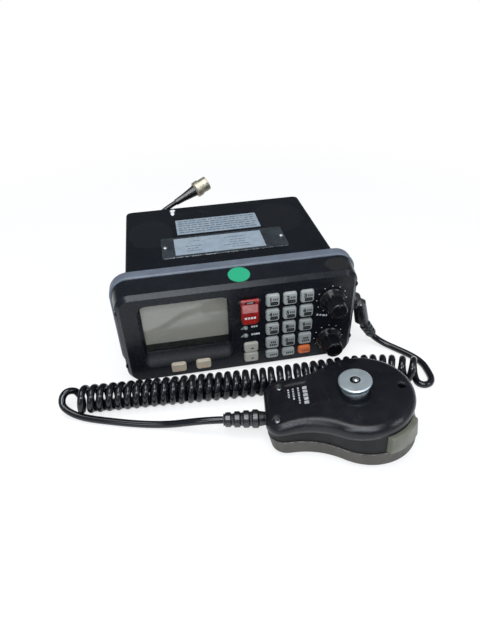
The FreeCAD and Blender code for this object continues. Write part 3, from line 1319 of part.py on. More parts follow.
# ---------------------------------------------------------------- build
def main():
    os.makedirs("parts", exist_ok=True)
    save("front_panel", front_panel())
    save("display_window", display_window())
    save("lcd_module", lcd_module())
    save("status_leds", status_leds())
    save("front_board", front_board())
    save("keypad_mat", keypad_mat())
    for name, (centre, size) in key_layout().items():
        save(name, key(centre, size))
    save("distress_key", distress_key())
    save("distress_cover", distress_cover())
    save("cover_pin", cover_pin())
    save("control_pots", control_pots())
    for name, z in KNOB_Z.items():
        save(name + "_knob", knob(z))
        save(name + "_shaft", shaft(z))
    save("mounting_flange", mounting_flange())
    save("case_shell", case_shell())
    save("main_board", main_board())
    save("case_screws", case_screws())
    save("nameplate", nameplate())
    save("labels", labels())
    save("rear_heatsink", rear_heatsink())
    save("power_inlet", power_inlet())
    save("antenna_gland", antenna_gland())
    save("antenna_cable", tube("antenna_cable", ANTENNA_ROUTE, ANT_CABLE_R))
    save("antenna_boot", antenna_boot())
    save("antenna_jack", antenna_jack())
    save("mic_socket", mic_socket())
    save("plug_body", plug_body())
    save("cord_plug_lead", tube("cord_plug_lead", PLUG_LEAD_ROUTE, CORD_R))
    save("cord_coil", tube("cord_coil", COIL_ROUTE, COIL_R))
    save("cord_mic_lead", tube("cord_mic_lead", MIC_LEAD_ROUTE + mic_lead_end(), CORD_R))
    place = mic_frame()
    board, switch = mic_board()
    microphone = {
        "mic_front_shell": mic_front_shell(), "mic_band": mic_band(),
        "mic_back_shell": mic_back_shell(), "ptt_button": ptt_button(),
        "hangup_button": hangup_button(), "hangup_screw": hangup_screw(),
        "mic_screws": mic_screws(), "mic_relief": mic_relief(),
        "mic_board": group([board, switch]), "mic_capsule": mic_capsule(),
    }
    for name, shape in microphone.items():
        save(name, shape.transformGeometry(place.toMatrix()))


main()
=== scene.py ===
# Looks of the VHF marine radio: materials, cords and surface detail round the fixed CAD frame.
# Positions are written in the millimetres of the drawing and turned into metres by at().

import json
import math
import random

import bmesh
import bpy
from mathutils import Matrix, Vector


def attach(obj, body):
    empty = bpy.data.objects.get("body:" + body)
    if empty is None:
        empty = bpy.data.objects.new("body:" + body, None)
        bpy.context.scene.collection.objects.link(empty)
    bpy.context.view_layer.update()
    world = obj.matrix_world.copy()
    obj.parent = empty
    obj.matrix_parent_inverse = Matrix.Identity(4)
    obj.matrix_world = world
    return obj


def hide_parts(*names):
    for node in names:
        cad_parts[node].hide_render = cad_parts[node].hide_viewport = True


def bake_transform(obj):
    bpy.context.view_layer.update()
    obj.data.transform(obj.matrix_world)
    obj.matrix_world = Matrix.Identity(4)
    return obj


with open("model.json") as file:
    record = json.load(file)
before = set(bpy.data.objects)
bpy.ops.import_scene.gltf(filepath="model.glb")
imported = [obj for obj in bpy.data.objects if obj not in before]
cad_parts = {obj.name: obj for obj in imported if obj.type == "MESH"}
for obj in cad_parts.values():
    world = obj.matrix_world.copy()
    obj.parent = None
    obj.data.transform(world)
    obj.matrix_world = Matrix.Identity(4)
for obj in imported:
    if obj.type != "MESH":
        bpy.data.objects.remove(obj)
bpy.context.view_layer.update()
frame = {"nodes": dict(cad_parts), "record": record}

random.seed(11)
NODES = frame["nodes"]
SLOTS = {row["node"]: row["material_slot"] for row in frame["record"]["subparts"]}
MM = 0.001
SHIFT_Y = -99.35                # drawing's front face to the part's origin
UP = Vector((0, 0, 1))


def at(x, y, z):
    """Point of the drawing, in metres in the part's frame."""
    return Vector((x, y + SHIFT_Y, z)) * MM


def linked(name, data):
    """New object of the scene with this data."""
    obj = bpy.data.objects.new(name, data)
    bpy.context.scene.collection.objects.link(obj)
    return obj


# ---------------------------------------------------------------- camera
AZIMUTH = math.radians(8.75)
PITCH = math.radians(37.29)
ROLL = math.radians(-2.155)
CAMERA_AT = Vector((-52.62, -435.73, 316.37)) * MM
SENSOR = 36.0                   # over the 640 pixels of the height
LENS = 27.854                   # for that sensor
CLIP = (0.01, 60.0)


def make_camera():
    """Camera fitted to the photograph: turned, pitched down and rolled a little."""
    forward = Vector((math.sin(AZIMUTH) * math.cos(PITCH), math.cos(AZIMUTH) * math.cos(PITCH),
                      -math.sin(PITCH)))
    level = forward.cross(UP).normalized()
    above = level.cross(forward)
    right = level * math.cos(ROLL) + above * math.sin(ROLL)
    up = above * math.cos(ROLL) - level * math.sin(ROLL)
    data = bpy.data.cameras.new("camera")
    data.lens = LENS
    data.sensor_width = SENSOR
    data.clip_start, data.clip_end = CLIP
    camera = linked("camera", data)
    place = Matrix((right, up, -forward)).transposed().to_4x4()
    place.translation = CAMERA_AT
    camera.matrix_world = place
    bpy.context.scene.camera = camera


# ---------------------------------------------------------------- cords
# The curly cord is one smooth line: PLUG_LEAD from the plug, a helix round COIL, then MIC_LEAD.
CORD_R = 3.0
CORD_STEPS = 4                  # points of the tube between two control points
CORD_ROUND = 5                  # bevel resolution of the cords
HELIX_R = 9.25                  # middle of the coil to the middle of its cord
HELIX_POINTS = 14               # per turn
HELIX_PITCH = 7.6
LOOSE_PITCH = 2.4               # added to the pitch at the plug's end
LOOSE_RUN = 26.0                # how far along the coil that addition fades out
HELIX_START = 3.5               # along the coil's middle line
HELIX_STOP = 2.0                # before that line's end, from where on the last turn may end
LAST_ANGLE = math.radians(250)  # where on its round it ends
LAST_NEAR = 0.97                # cosine of how near to that
WOBBLE = 0.35                   # unevenness of the turns
WOBBLE_WAVES = (0.31, 0.173)    # waves of it for each round of the turns
PLUG_LEAD = [(126.4, 10.8, 14.8), (129.0, 10.3, 11.8), (130.9, 9.3, 8.8), (139.0, 3.0, 4.4),
             (148.5, -6.5, 3.2), (157.5, -17.5, 3.2), (163.2, -29.5, 3.2), (163.0, -40.5, 3.2),
             (161.8, -50.6, 3.2), (157.2, -56.4, 3.2), (151.3, -57.0, 3.2), (147.3, -53.4, 3.1)]
COIL = [(-147.0, -22.3, 12.3), (-70.0, -27.5, 12.3), (20.0, -34.0, 12.3), (84.0, -33.1, 12.3),
        (122.0, -36.5, 12.3), (151.5, -48.5, 12.3)]
MIC_LEAD = [(-147.2, -12.4, 12.6), (-150.4, -13.2, 15.4), (-155.2, -15.0, 16.6),
            (-159.0, -18.8, 14.2), (-159.4, -24.4, 9.0), (-151.5, -30.6, 5.0),
            (-139.5, -36.6, 3.3), (-121.0, -43.4, 3.2), (-96.0, -51.8, 3.2), (-71.0, -58.3, 4.2)]
MIC_TURN = math.radians(-8.9)   # how the microphone lies on the table
MIC_ORIGIN = (4.5, -75.9)
MIC_RELIEF_W = 14.3
MIC_LEAD_END_U = (-50.3, -33.3)     # the lead's last two points, at the strain relief
ANTENNA = [(-66.0, 173.7, 63.5), (-66.0, 184.7, 64.0), (-61.0, 191.7, 72.5),
           (-50.0, 194.7, 79.5), (-39.0, 198.7, 83.5)]
ANTENNA_R = 2.7
ANTENNA_STEPS = 8


def mic_at(u, v, w):
    """Point given along, across and above the microphone, in drawing millimetres."""
    c = math.cos(MIC_TURN)
    s = math.sin(MIC_TURN)
    return (MIC_ORIGIN[0] + u * c - v * s, MIC_ORIGIN[1] + u * s + v * c, w)


def new_curve(name, kind, points):
    """Curve with one spline of that kind, whose points are given in metres."""
    curve = bpy.data.curves.new(name, "CURVE")
    curve.dimensions = "3D"
    spline = curve.splines.new(kind)
    spline.points.add(len(points) - 1)
    for knot, point in zip(spline.points, points):
        knot.co = (*point, 1.0)
    return curve


def make_round(curve, radius):
    """Round section and closed ends, or a bare line where the radius is 0."""
    curve.bevel_depth = radius
    curve.bevel_resolution = CORD_ROUND
    curve.use_fill_caps = radius > 0


def spline_object(name, points, radius, steps):
    """Smooth curve with these control points."""
    curve = new_curve(name, "NURBS", points)
    spline = curve.splines[0]
    spline.order_u = 3
    spline.use_endpoint_u = True
    spline.resolution_u = steps
    make_round(curve, radius)
    return linked(name, curve)


def followed(points, steps=24):
    """Points along the smooth curve that a route's control points draw."""
    obj = spline_object("route", points, 0.0, steps)
    mesh = bpy.data.meshes.new_from_object(obj)
    line = [v.co.copy() for v in mesh.vertices]
    bpy.data.meshes.remove(mesh)
    bpy.data.objects.remove(obj)
    return line


def helix():
    """Control points of the curly part, from the plug's end to the microphone's end."""
    line = followed([at(*p) for p in reversed(COIL)])
    run = [0.0]
    for a, b in zip(line, line[1:]):
        run.append(run[-1] + (b - a).length)
    radius = HELIX_R * MM / math.cos(math.pi / HELIX_POINTS)
    points = []
    travelled = HELIX_START * MM
    angle = math.pi
    i = 0
    while travelled < run[-1] - HELIX_STOP * MM or math.cos(angle - LAST_ANGLE) < LAST_NEAR:
        while i < len(run) - 2 and run[i + 1] < travelled:
            i += 1
        share = (travelled - run[i]) / (run[i + 1] - run[i])
        centre = line[i].lerp(line[i + 1], share)
        ahead = (line[i + 1] - line[i]).normalized()
        front = (-ahead).cross(UP).normalized()
        wobble = (WOBBLE * MM * math.sin(angle * WOBBLE_WAVES[0])
                  * math.sin(angle * WOBBLE_WAVES[1] + 1.0))
        points.append(centre + (UP * math.cos(angle) + front * math.sin(angle)) * radius
                      + ahead * wobble)
        loose = LOOSE_PITCH * math.exp(-(travelled / MM / LOOSE_RUN) ** 2)
        travelled += (HELIX_PITCH + loose) * MM / HELIX_POINTS
        angle += 2 * math.pi / HELIX_POINTS
    return points


def tube(name, line, radius):
    """Mesh tube along points that were read from a smooth curve."""
    curve = new_curve(name, "POLY", line)
    make_round(curve, radius)
    shape = bpy.data.objects.new(name + "_shape", curve)
    mesh = bpy.data.meshes.new_from_object(shape)
    bpy.data.objects.remove(shape)
    return linked(name, mesh)


def make_cords():
    """The curly cord up to its leftmost point, the lead from there, and the antenna's lead."""
    tail = [mic_at(u, 0, MIC_RELIEF_W) for u in MIC_LEAD_END_U]
    points = [at(*p) for p in PLUG_LEAD] + helix() + [at(*p) for p in MIC_LEAD + tail]
    line = followed(points, CORD_STEPS)
    cut = min(range(len(line)), key=lambda i: line[i].x)
    lines = line[:cut + 1], line[cut - 1:]    # the lead's first ring lies inside the cord's end
    antenna = spline_object("antenna_lead", [at(*p) for p in ANTENNA], ANTENNA_R * MM,
                            ANTENNA_STEPS)
    return (tube("curly_cord", lines[0], CORD_R * MM), tube("mic_lead", lines[1], CORD_R * MM),
            antenna, lines)


make_camera()
curly_cord, mic_lead, antenna_lead, cord_lines = make_cords()


# ---------------------------------------------------------------- materials
NOISE_ROUGH = 0.55
BEVEL_SAMPLES = 6
EDGE_TURN = (0.985, 0.86)       # cosine of how far an edge turns the normal: plain, and a fully tinted edge


class Nodes:
    """Short calls for a material's nodes."""

    def __init__(self, material):
        material.use_nodes = True
        self.tree = material.node_tree
        self.shader = self.tree.nodes["Principled BSDF"]
        self.place = self.add("ShaderNodeTexCoord").outputs["Object"]

    def add(self, kind, **values):
        """New node of that kind with these settings."""
        node = self.tree.nodes.new(kind)
        for name, value in values.items():
            setattr(node, name, value)
        return node

    def put(self, socket, value):
        """Links another node's output to the socket, or sets the socket to a value."""
        if isinstance(value, bpy.types.NodeSocket):
            self.tree.links.new(value, socket)
        else:
            socket.default_value = value

    def noise(self, scale, detail, distortion=0.0, stretch=None):
        """Noise in metres, stretched along the axes where that is given."""
        node = self.add("ShaderNodeTexNoise")
        where = self.place
        if stretch:
            mapping = self.add("ShaderNodeMapping")
            self.put(mapping.inputs["Vector"], where)
            mapping.inputs["Scale"].default_value = stretch
            where = mapping.outputs["Vector"]
        self.put(node.inputs["Vector"], where)
        node.inputs["Scale"].default_value = scale
        node.inputs["Detail"].default_value = detail
        node.inputs["Roughness"].default_value = NOISE_ROUGH
        node.inputs["Distortion"].default_value = distortion
        return node.outputs["Fac"]

    def ramp(self, value, low, high, to_low=0.0, to_high=1.0):
        """Smooth change from to_low to to_high while the value goes from low to high."""
        node = self.add("ShaderNodeMapRange", clamp=True, interpolation_type="SMOOTHSTEP")
        self.put(node.inputs["Value"], value)
        node.inputs["From Min"].default_value = low
        node.inputs["From Max"].default_value = high
        node.inputs["To Min"].default_value = to_low
        node.inputs["To Max"].default_value = to_high
        return node.outputs["Result"]

    def math(self, operation, a, b=0.0):
        node = self.add("ShaderNodeMath", operation=operation)
        self.put(node.inputs[0], a)
        self.put(node.inputs[1], b)
        return node.outputs["Value"]

    def mix(self, share, a, b):
        """Colour a, with that share of colour b."""
        node = self.add("ShaderNodeMix", data_type="RGBA")
        self.put(node.inputs["Factor"], share)
        for socket, value in ((node.inputs[6], a), (node.inputs[7], b)):
            self.put(socket, value if isinstance(value, bpy.types.NodeSocket) else (*value, 1.0))
        return node.outputs[2]

    def patch(self, centre, size, edge_scale, ragged):
        """Soft-edged ragged patch of that half-size round a point of the drawing."""
        mapping = self.add("ShaderNodeMapping", vector_type="TEXTURE")
        self.put(mapping.inputs["Vector"], self.place)
        mapping.inputs["Location"].default_value = at(*centre)
        mapping.inputs["Scale"].default_value = Vector(size) * MM
        length = self.add("ShaderNodeVectorMath", operation="LENGTH")
        self.put(length.inputs[0], mapping.outputs["Vector"])
        wander = self.math("MULTIPLY", self.math("SUBTRACT", self.noise(edge_scale, 4.0), 0.5),
                           ragged * 2)
        return self.ramp(self.math("ADD", length.outputs["Value"], wander), 1.0, 0.88)

    def band(self, axis, low, high, soft):
        """Mask between two drawing coordinates along an axis, with soft ends inside them."""
        where = self.add("ShaderNodeSeparateXYZ")
        self.put(where.inputs[0], self.place)
        shift = SHIFT_Y if axis == "Y" else 0.0
        value = where.outputs[axis]
        rise = self.ramp(value, (low + shift) * MM, (low + soft + shift) * MM)
        fall = self.ramp(value, (high + shift) * MM, (high - soft + shift) * MM)
        return self.math("MULTIPLY", rise, fall)

    def edges(self, radius):
        """Mask of convex and concave edges, with the rounded normal that shows it."""
        bevel = self.add("ShaderNodeBevel", samples=BEVEL_SAMPLES)
        bevel.inputs["Radius"].default_value = radius
        flat = self.add("ShaderNodeNewGeometry").outputs["Normal"]
        dot = self.add("ShaderNodeVectorMath", operation="DOT_PRODUCT")
        self.put(dot.inputs[0], bevel.outputs["Normal"])
        self.put(dot.inputs[1], flat)
        return self.ramp(dot.outputs["Value"], *EDGE_TURN), bevel.outputs["Normal"]


DUST = (0.42, 0.41, 0.38)
GRAIN_DEPTH = 0.0001


def surface(name, colour, rough=0.4, metallic=0.0, specular=0.5, vary=0.12, vary_scale=60.0,
            rough_vary=0.08, grain=None, dust=0.0, wear_and_highlight=None, edge=0.0004, scratches=0.0,
            broad=None, extra=None):
    """Procedural finish: uneven colour and gloss, fine grain, tinted edges, dust and scratches.

    The colour goes up and down by the share vary, the roughness by rough_vary. grain is (scale,
    strength), and the edge tint (colour, share) is wear on most finishes and a painted highlight on
    the microphone's front shell. edge is the bevel's radius in metres for the edge mask and the
    normal, and broad a larger one for the normal alone.
    """
    material = bpy.data.materials.new(name)
    n = Nodes(material)
    dark = [c * (1 - vary) for c in colour]
    light = [min(1.0, c * (1 + vary)) for c in colour]
    cloud = n.noise(vary_scale, 4.0)
    tint = n.mix(n.ramp(cloud, 0.3, 0.7), dark, light)
    gloss = n.ramp(n.noise(vary_scale * 2.3, 5.0), 0.25, 0.75, max(0.02, rough - rough_vary),
                   min(1.0, rough + rough_vary))
    mask, normal = n.edges(edge)
    if broad:
        normal = n.edges(broad)[1]
    if wear_and_highlight:
        # Edge tint: wear on most finishes, a painted highlight on the microphone's front shell.
        worn_and_lit_edges = n.math("MULTIPLY", mask, n.ramp(n.noise(420.0, 4.0), 0.42, 0.62))
        tint = n.mix(n.math("MULTIPLY", worn_and_lit_edges, wear_and_highlight[1]), tint, wear_and_highlight[0])
    if scratches:
        lines = n.ramp(n.noise(30.0, 3.0, distortion=1.5, stretch=(0.5, 9.0, 2.0)), 0.66, 0.7)
        fine = n.ramp(n.noise(46.0, 2.0, distortion=2.5, stretch=(8.0, 0.6, 1.5)), 0.69, 0.72)
        both = n.math("MULTIPLY", n.math("MAXIMUM", lines, fine), scratches)
        tint = n.mix(both, tint, [min(1.0, c * 2 + 0.1) for c in colour])
    if dust:
        upward = n.add("ShaderNodeSeparateXYZ")
        n.put(upward.inputs[0], n.add("ShaderNodeNewGeometry").outputs["Normal"])
        settle = n.math("MULTIPLY", n.ramp(upward.outputs["Z"], 0.1, 0.9), dust)
        specks = n.ramp(n.noise(900.0, 2.0), 0.6, 0.72)
        film = n.ramp(n.noise(35.0, 5.0), 0.35, 0.8)
        amount = n.math("MULTIPLY", n.math("ADD", n.math("MULTIPLY", specks, 0.8), film), settle)
        tint = n.mix(amount, tint, DUST)
    if extra:
        tint = extra(n, tint)
    if grain:
        bump = n.add("ShaderNodeBump")
        bump.inputs["Strength"].default_value = grain[1]
        bump.inputs["Distance"].default_value = GRAIN_DEPTH
        n.put(bump.inputs["Height"], n.noise(grain[0], 2.0))
        n.put(bump.inputs["Normal"], normal)
        normal = bump.outputs["Normal"]
    shader = n.shader
    n.put(shader.inputs["Base Color"], tint)
    n.put(shader.inputs["Roughness"], gloss)
    n.put(shader.inputs["Normal"], normal)
    shader.inputs["Metallic"].default_value = metallic
    shader.inputs["Specular IOR Level"].default_value = specular
    return material


CASE_TOP = 91.2
STICKER_BACK = 40.0             # y between the round sticker and the papers


def case_marks(n, tint):
    """Chipped paint, tape residue and a worn patch on the case's top."""
    chip = n.math("MAXIMUM", n.patch((-45.0, 153.0, CASE_TOP), (2.0, 5.0, 3.0), 300.0, 0.3),
                  n.patch((-44.6, 159.5, 91.0), (2.8, 4.0, 3.0), 420.0, 0.3))
    tape = n.math("MULTIPLY", n.patch((-69.0, 112.0, CASE_TOP), (23.0, 31.0, 4.0), 90.0, 0.25), 0.5)
    tint = n.mix(tape, tint, (0.012, 0.013, 0.016))
    rub = n.math("MULTIPLY", n.patch((60.0, 120.0, CASE_TOP), (26.0, 36.0, 4.0), 60.0, 0.6), 0.35)
    tint = n.mix(rub, tint, (0.014, 0.014, 0.016))
    return n.mix(chip, tint, (0.62, 0.64, 0.66))


def label_colours(n, tint):
    """The round sticker on the panel is green, the papers further back are pale blue."""
    where = n.add("ShaderNodeSeparateXYZ")
    n.put(where.inputs[0], n.place)
    limit = (STICKER_BACK + SHIFT_Y) * MM
    green = n.math("LESS_THAN", where.outputs["Y"], limit)
    return n.mix(green, tint, (0.018, 0.285, 0.15))


def panel_residue_and_reflection(n, tint):
    """Brownish tape residue on the panel's top at the right, and a painted reflection that lightens
    the slope under the display.
    """
    rest = n.math("MULTIPLY", n.patch((88.0, 12.0, 95.0), (12.0, 9.0, 5.0), 180.0, 0.3), 0.35)
    tint = n.mix(rest, tint, (0.035, 0.032, 0.028))
    # Painted reflection: a lighter grey on the slope under the display.
    slope_reflection = n.math("MULTIPLY", n.band("X", -87.0, -8.0, 5.0),
                   n.math("MULTIPLY", n.band("Y", 0.15, 3.9, 0.1), n.band("Z", 14.0, 31.0, 9.0)))
    return n.mix(n.math("MULTIPLY", slope_reflection, 0.8), tint, (0.060, 0.060, 0.062))


GREY_WEAR = (0.12, 0.12, 0.125)
FINISHES = {
    "panel_black": dict(colour=(0.0060, 0.0070, 0.0100), rough=0.26, specular=0.24, dust=0.003,
                        rough_vary=0.04, grain=(1500.0, 0.08), wear_and_highlight=((0.07, 0.08, 0.10), 0.4),
                        scratches=0.05, extra=panel_residue_and_reflection),
    "flange_grey": dict(colour=(0.10, 0.118, 0.150), rough=0.42, specular=0.35, dust=0.03,
                        grain=(1200.0, 0.2), wear_and_highlight=((0.34, 0.36, 0.40), 0.6), edge=0.0009),
    "case_black": dict(colour=(0.0050, 0.0066, 0.0092), rough=0.27, specular=0.12, dust=0.003,
                       rough_vary=0.04, grain=(1800.0, 0.12), wear_and_highlight=(GREY_WEAR, 0.5), edge=0.0007,
                       scratches=0.05, extra=case_marks),
    "lcd_grey": dict(colour=(0.034, 0.036, 0.026), rough=0.05, rough_vary=0.01, vary=0.05,
                     specular=0.5, edge=0.0002),
    "key_grey": dict(colour=(0.288, 0.305, 0.298), rough=0.48, specular=0.4, vary=0.07,
                     grain=(2200.0, 0.15), wear_and_highlight=((0.25, 0.26, 0.23), 0.4), edge=0.0006),
    "key_orange": dict(colour=(0.60, 0.140, 0.042), rough=0.45, specular=0.4, vary=0.10,
                       grain=(2200.0, 0.15), wear_and_highlight=((0.55, 0.30, 0.16), 0.5), edge=0.0006),
    "key_beige": dict(colour=(0.338, 0.336, 0.295), rough=0.48, specular=0.4, vary=0.08,
                      grain=(2200.0, 0.15), wear_and_highlight=((0.25, 0.25, 0.19), 0.4), edge=0.0006),
    "key_cream": dict(colour=(0.385, 0.335, 0.265), rough=0.48, specular=0.4, vary=0.08,
                      grain=(2200.0, 0.15), wear_and_highlight=((0.33, 0.27, 0.18), 0.5), edge=0.0006),
    "cover_red": dict(colour=(0.24, 0.010, 0.009), rough=0.24, specular=0.5, vary=0.25,
                      vary_scale=200.0, scratches=0.15, wear_and_highlight=((0.5, 0.14, 0.12), 0.6)),
    "distress_red": dict(colour=(0.45, 0.02, 0.02), rough=0.4),
    "knob_black": dict(colour=(0.0045, 0.0045, 0.006), rough=0.20, specular=0.24, dust=0.003,
                       grain=(1600.0, 0.2), wear_and_highlight=((0.03, 0.03, 0.033), 0.4), edge=0.0006),
    "steel": dict(colour=(0.36, 0.37, 0.38), rough=0.34, metallic=1.0, vary=0.15, vary_scale=500.0,
                  grain=(900.0, 0.1)),
    "polished_metal": dict(colour=(0.55, 0.62, 0.66), rough=0.36, metallic=0.85, vary=0.05,
                           rough_vary=0.06, scratches=0.2, edge=0.0005),
    "board_green": dict(colour=(0.03, 0.15, 0.065), rough=0.35),
    "mat_grey": dict(colour=(0.3, 0.31, 0.31), rough=0.7),
    "pot_metal": dict(colour=(0.42, 0.42, 0.43), rough=0.35, metallic=1.0),
    "led_lens": dict(colour=(0.20, 0.23, 0.22), rough=0.16, specular=0.7, vary=0.2,
                     vary_scale=900.0, edge=0.0002),
    "plate_black": dict(colour=(0.040, 0.050, 0.060), rough=0.28, metallic=0.5, vary=0.3,
                        specular=0.6, dust=0.02, edge=0.0011, wear_and_highlight=((0.34, 0.35, 0.36), 0.8),
                        scratches=0.3),
    "label_paper": dict(colour=(0.215, 0.262, 0.312), rough=0.62, specular=0.2, vary=0.08,
                        vary_scale=140.0, grain=(900.0, 0.15), edge=0.0002, dust=0.12,
                        extra=label_colours),
    "heatsink_black": dict(colour=(0.012, 0.012, 0.014), rough=0.42, metallic=0.4, dust=0.08,
                           grain=(1500.0, 0.2), wear_and_highlight=((0.35, 0.35, 0.36), 0.5)),
    "cord_black": dict(colour=(0.0034, 0.0042, 0.0066), rough=0.12, specular=0.42, vary=0.15,
                       rough_vary=0.03, edge=0.0002, dust=0.004, vary_scale=120.0),
    "rubber_black": dict(colour=(0.0058, 0.0064, 0.0088), rough=0.27, specular=0.75, dust=0.008,
                         grain=(1500.0, 0.15), wear_and_highlight=((0.05, 0.05, 0.055), 0.4)),
    "nickel": dict(colour=(0.42, 0.39, 0.31), rough=0.46, metallic=0.9, vary=0.3,
                   vary_scale=260.0, rough_vary=0.12, wear_and_highlight=((0.55, 0.52, 0.45), 0.7)),
    "mic_black": dict(colour=(0.0050, 0.0056, 0.0080), rough=0.19, specular=0.33, dust=0.003,
                      vary=0.2, rough_vary=0.07, scratches=0.10, edge=0.0006, broad=0.004,
                      wear_and_highlight=((0.05, 0.05, 0.055), 0.5)),
    "mic_band_grey": dict(colour=(0.008, 0.0084, 0.0094), rough=0.40, specular=0.14,
                          grain=(1400.0, 0.15), edge=0.0005, dust=0.02),
    # The front shell's light edge tint is a painted highlight along its upper edge, not wear.
    "mic_front_grey": dict(colour=(0.072, 0.066, 0.059), rough=0.55, specular=0.25, dust=0.03,
                           grain=(1600.0, 0.35), vary=0.10, edge=0.0012,
                           wear_and_highlight=((0.32, 0.30, 0.27), 1.0)),
    "ptt_olive": dict(colour=(0.122, 0.122, 0.094), rough=0.45, specular=0.4, dust=0.06,
                      grain=(1500.0, 0.2), vary=0.14, edge=0.0007,
                      wear_and_highlight=((0.36, 0.37, 0.30), 0.6)),
}


def clear_window():
    """Clear plastic with a faint uneven haze."""
    material = bpy.data.materials.new("window_clear")
    n = Nodes(material)
    haze = n.ramp(n.noise(30.0, 5.0), 0.35, 0.75, 0.02, 0.05)
    n.put(n.shader.inputs["Alpha"], haze)
    n.shader.inputs["Roughness"].default_value = 0.12
    n.shader.inputs["Specular IOR Level"].default_value = 0.25
    n.shader.inputs["Base Color"].default_value = (0.45, 0.46, 0.40, 1.0)
    return material


MATERIALS = {name: surface(name, **values) for name, values in FINISHES.items()}
MATERIALS["window_clear"] = clear_window()


def plain(name, colour, rough, vary, **more):
    """Plain ink or paint of a small print."""
    MATERIALS[name] = surface(name, colour, rough=rough, vary=vary, vary_scale=300.0,
                              edge=0.0001, **more)


plain("print_black", (0.008, 0.008, 0.009), 0.5, 0.3, specular=0.2)
plain("print_grey", (0.050, 0.052, 0.050), 0.6, 0.3)
plain("print_white", (0.60, 0.63, 0.64), 0.5, 0.15)
plain("print_faded", (0.030, 0.045, 0.065), 0.6, 0.25)
plain("worn_red", (0.22, 0.045, 0.02), 0.6, 0.3)
plain("worn_orange", (0.62, 0.26, 0.13), 0.6, 0.2)
plain("print_mic", (0.33, 0.34, 0.35), 0.5, 0.3)
# Near-black for painted shade under the cover's clip, round the button's screw and in the screw
# heads, and for the dark strip under the display.
plain("recess_black", (0.003, 0.003, 0.004), 0.6, 0.2, specular=0.08)
plain("pink_label", (0.42, 0.155, 0.150), 0.5, 0.15)
plain("lcd_picture", (0.205, 0.198, 0.172), 0.06, 0.03, specular=1.0)

for name, node in NODES.items():
    node.data.materials.clear()
    node.data.materials.append(MATERIALS[SLOTS[name]])


# ---------------------------------------------------------------- small pieces
def new_mesh(name, build, material):
    """Object from a function that fills a bmesh in metres."""
    bm = bmesh.new()
    build(bm)
    bmesh.ops.recalc_face_normals(bm, faces=bm.faces)
    mesh = bpy.data.meshes.new(name)
    bm.to_mesh(mesh)
    bm.free()
    for m in ([material] if isinstance(material, str) else material):
        mesh.materials.append(MATERIALS[m])
    return linked(name, mesh)


def outline(width, height, r, steps=4):
    """Rounded rectangle about the origin as (x, z) pairs in millimetres."""
    points = []
    for quarter, (sx, sz) in enumerate(((1, 1), (-1, 1), (-1, -1), (1, -1))):
        for k in range(steps + 1):
            a = math.pi / 2 * (quarter + k / steps)
            points.append((sx * (width / 2 - r) + r * math.cos(a),
                           sz * (height / 2 - r) + r * math.sin(a)))
    return points


def plaque(bm, points, place, thick=0.03, index=0):
    """Thin printed shape: (x, z) points in the plane that place() maps into metres."""
    low = [bm.verts.new(place(x, z, 0.0)) for x, z in points]
    high = [bm.verts.new(place(x, z, thick)) for x, z in points]
    faces = [bm.faces.new(high)]
    for i in range(len(points)):
        k = (i + 1) % len(points)
        faces.append(bm.faces.new((low[i], low[k], high[k], high[i])))
    for face in faces:
        face.material_index = index


def on_front(x0, z0, y0):
    """Maps print coordinates to the front of a key or the panel, facing the user."""
    return lambda x, z, h: at(x0 + x, y0 - h, z0 + z)


def on_top(x0, y0, z0):
    """Maps print coordinates to an upper face, readable from the front."""
    return lambda x, y, h: at(x0 + x, y0 + y, z0 + h)


def shifted(points, dx, dz):
    """The same outline, moved."""
    return [(x + dx, z + dz) for x, z in points]


def digit_mesh(text, size):
    """Flat outline of a digit, as vertices and faces in millimetres about its centre."""
    curve = bpy.data.curves.new("digit", "FONT")
    curve.body = text
    curve.size = size
    curve.align_x = "CENTER"
    curve.align_y = "CENTER"
    curve.resolution_u = 3
    curve.offset = size * 0.05
    obj = linked("digit", curve)
    mesh = bpy.data.meshes.new_from_object(obj)
    vertices = [(v.co.x, v.co.y) for v in mesh.vertices]
    faces = [tuple(p.vertices) for p in mesh.polygons]
    bpy.data.meshes.remove(mesh)
    bpy.data.objects.remove(obj)
    return vertices, faces


def add_digit(bm, text, size, place, dx, dz):
    """Digit with its middle that far from the place."""
    vertices, faces = digit_mesh(text, size)
    made = [bm.verts.new(place(x + dx, z + dz, 0.02)) for x, z in vertices]
    for face in faces:
        bm.faces.new([made[i] for i in face])


KEY_OUT = 2.5                   # how far the keys stand out of the panel
KEY_X = 27.75                   # middle of the left column
KEY_Z = 28.0                    # middle of the lowest row of square keys
KEY_STEP = (15.15, 15.5)
SHORT_ROW_DROP = 13.3
DIGIT_SIZE = 5.2
ARROW_X = 8.3
ARROWS = (("up", 26.1, 1), ("down", 14.5, -1))      # key, height and which way it points
SOFT_KEYS = (("soft_left", -57.6), ("soft_right", -35.4))
SOFT_MARK_Z = 11.6
SOFT_MARK = (4.2, 1.0, 0.3)
DIGITS = (("star", "0", "hash"), ("7", "8", "9"), ("4", "5", "6"), ("1", "2", "3"))


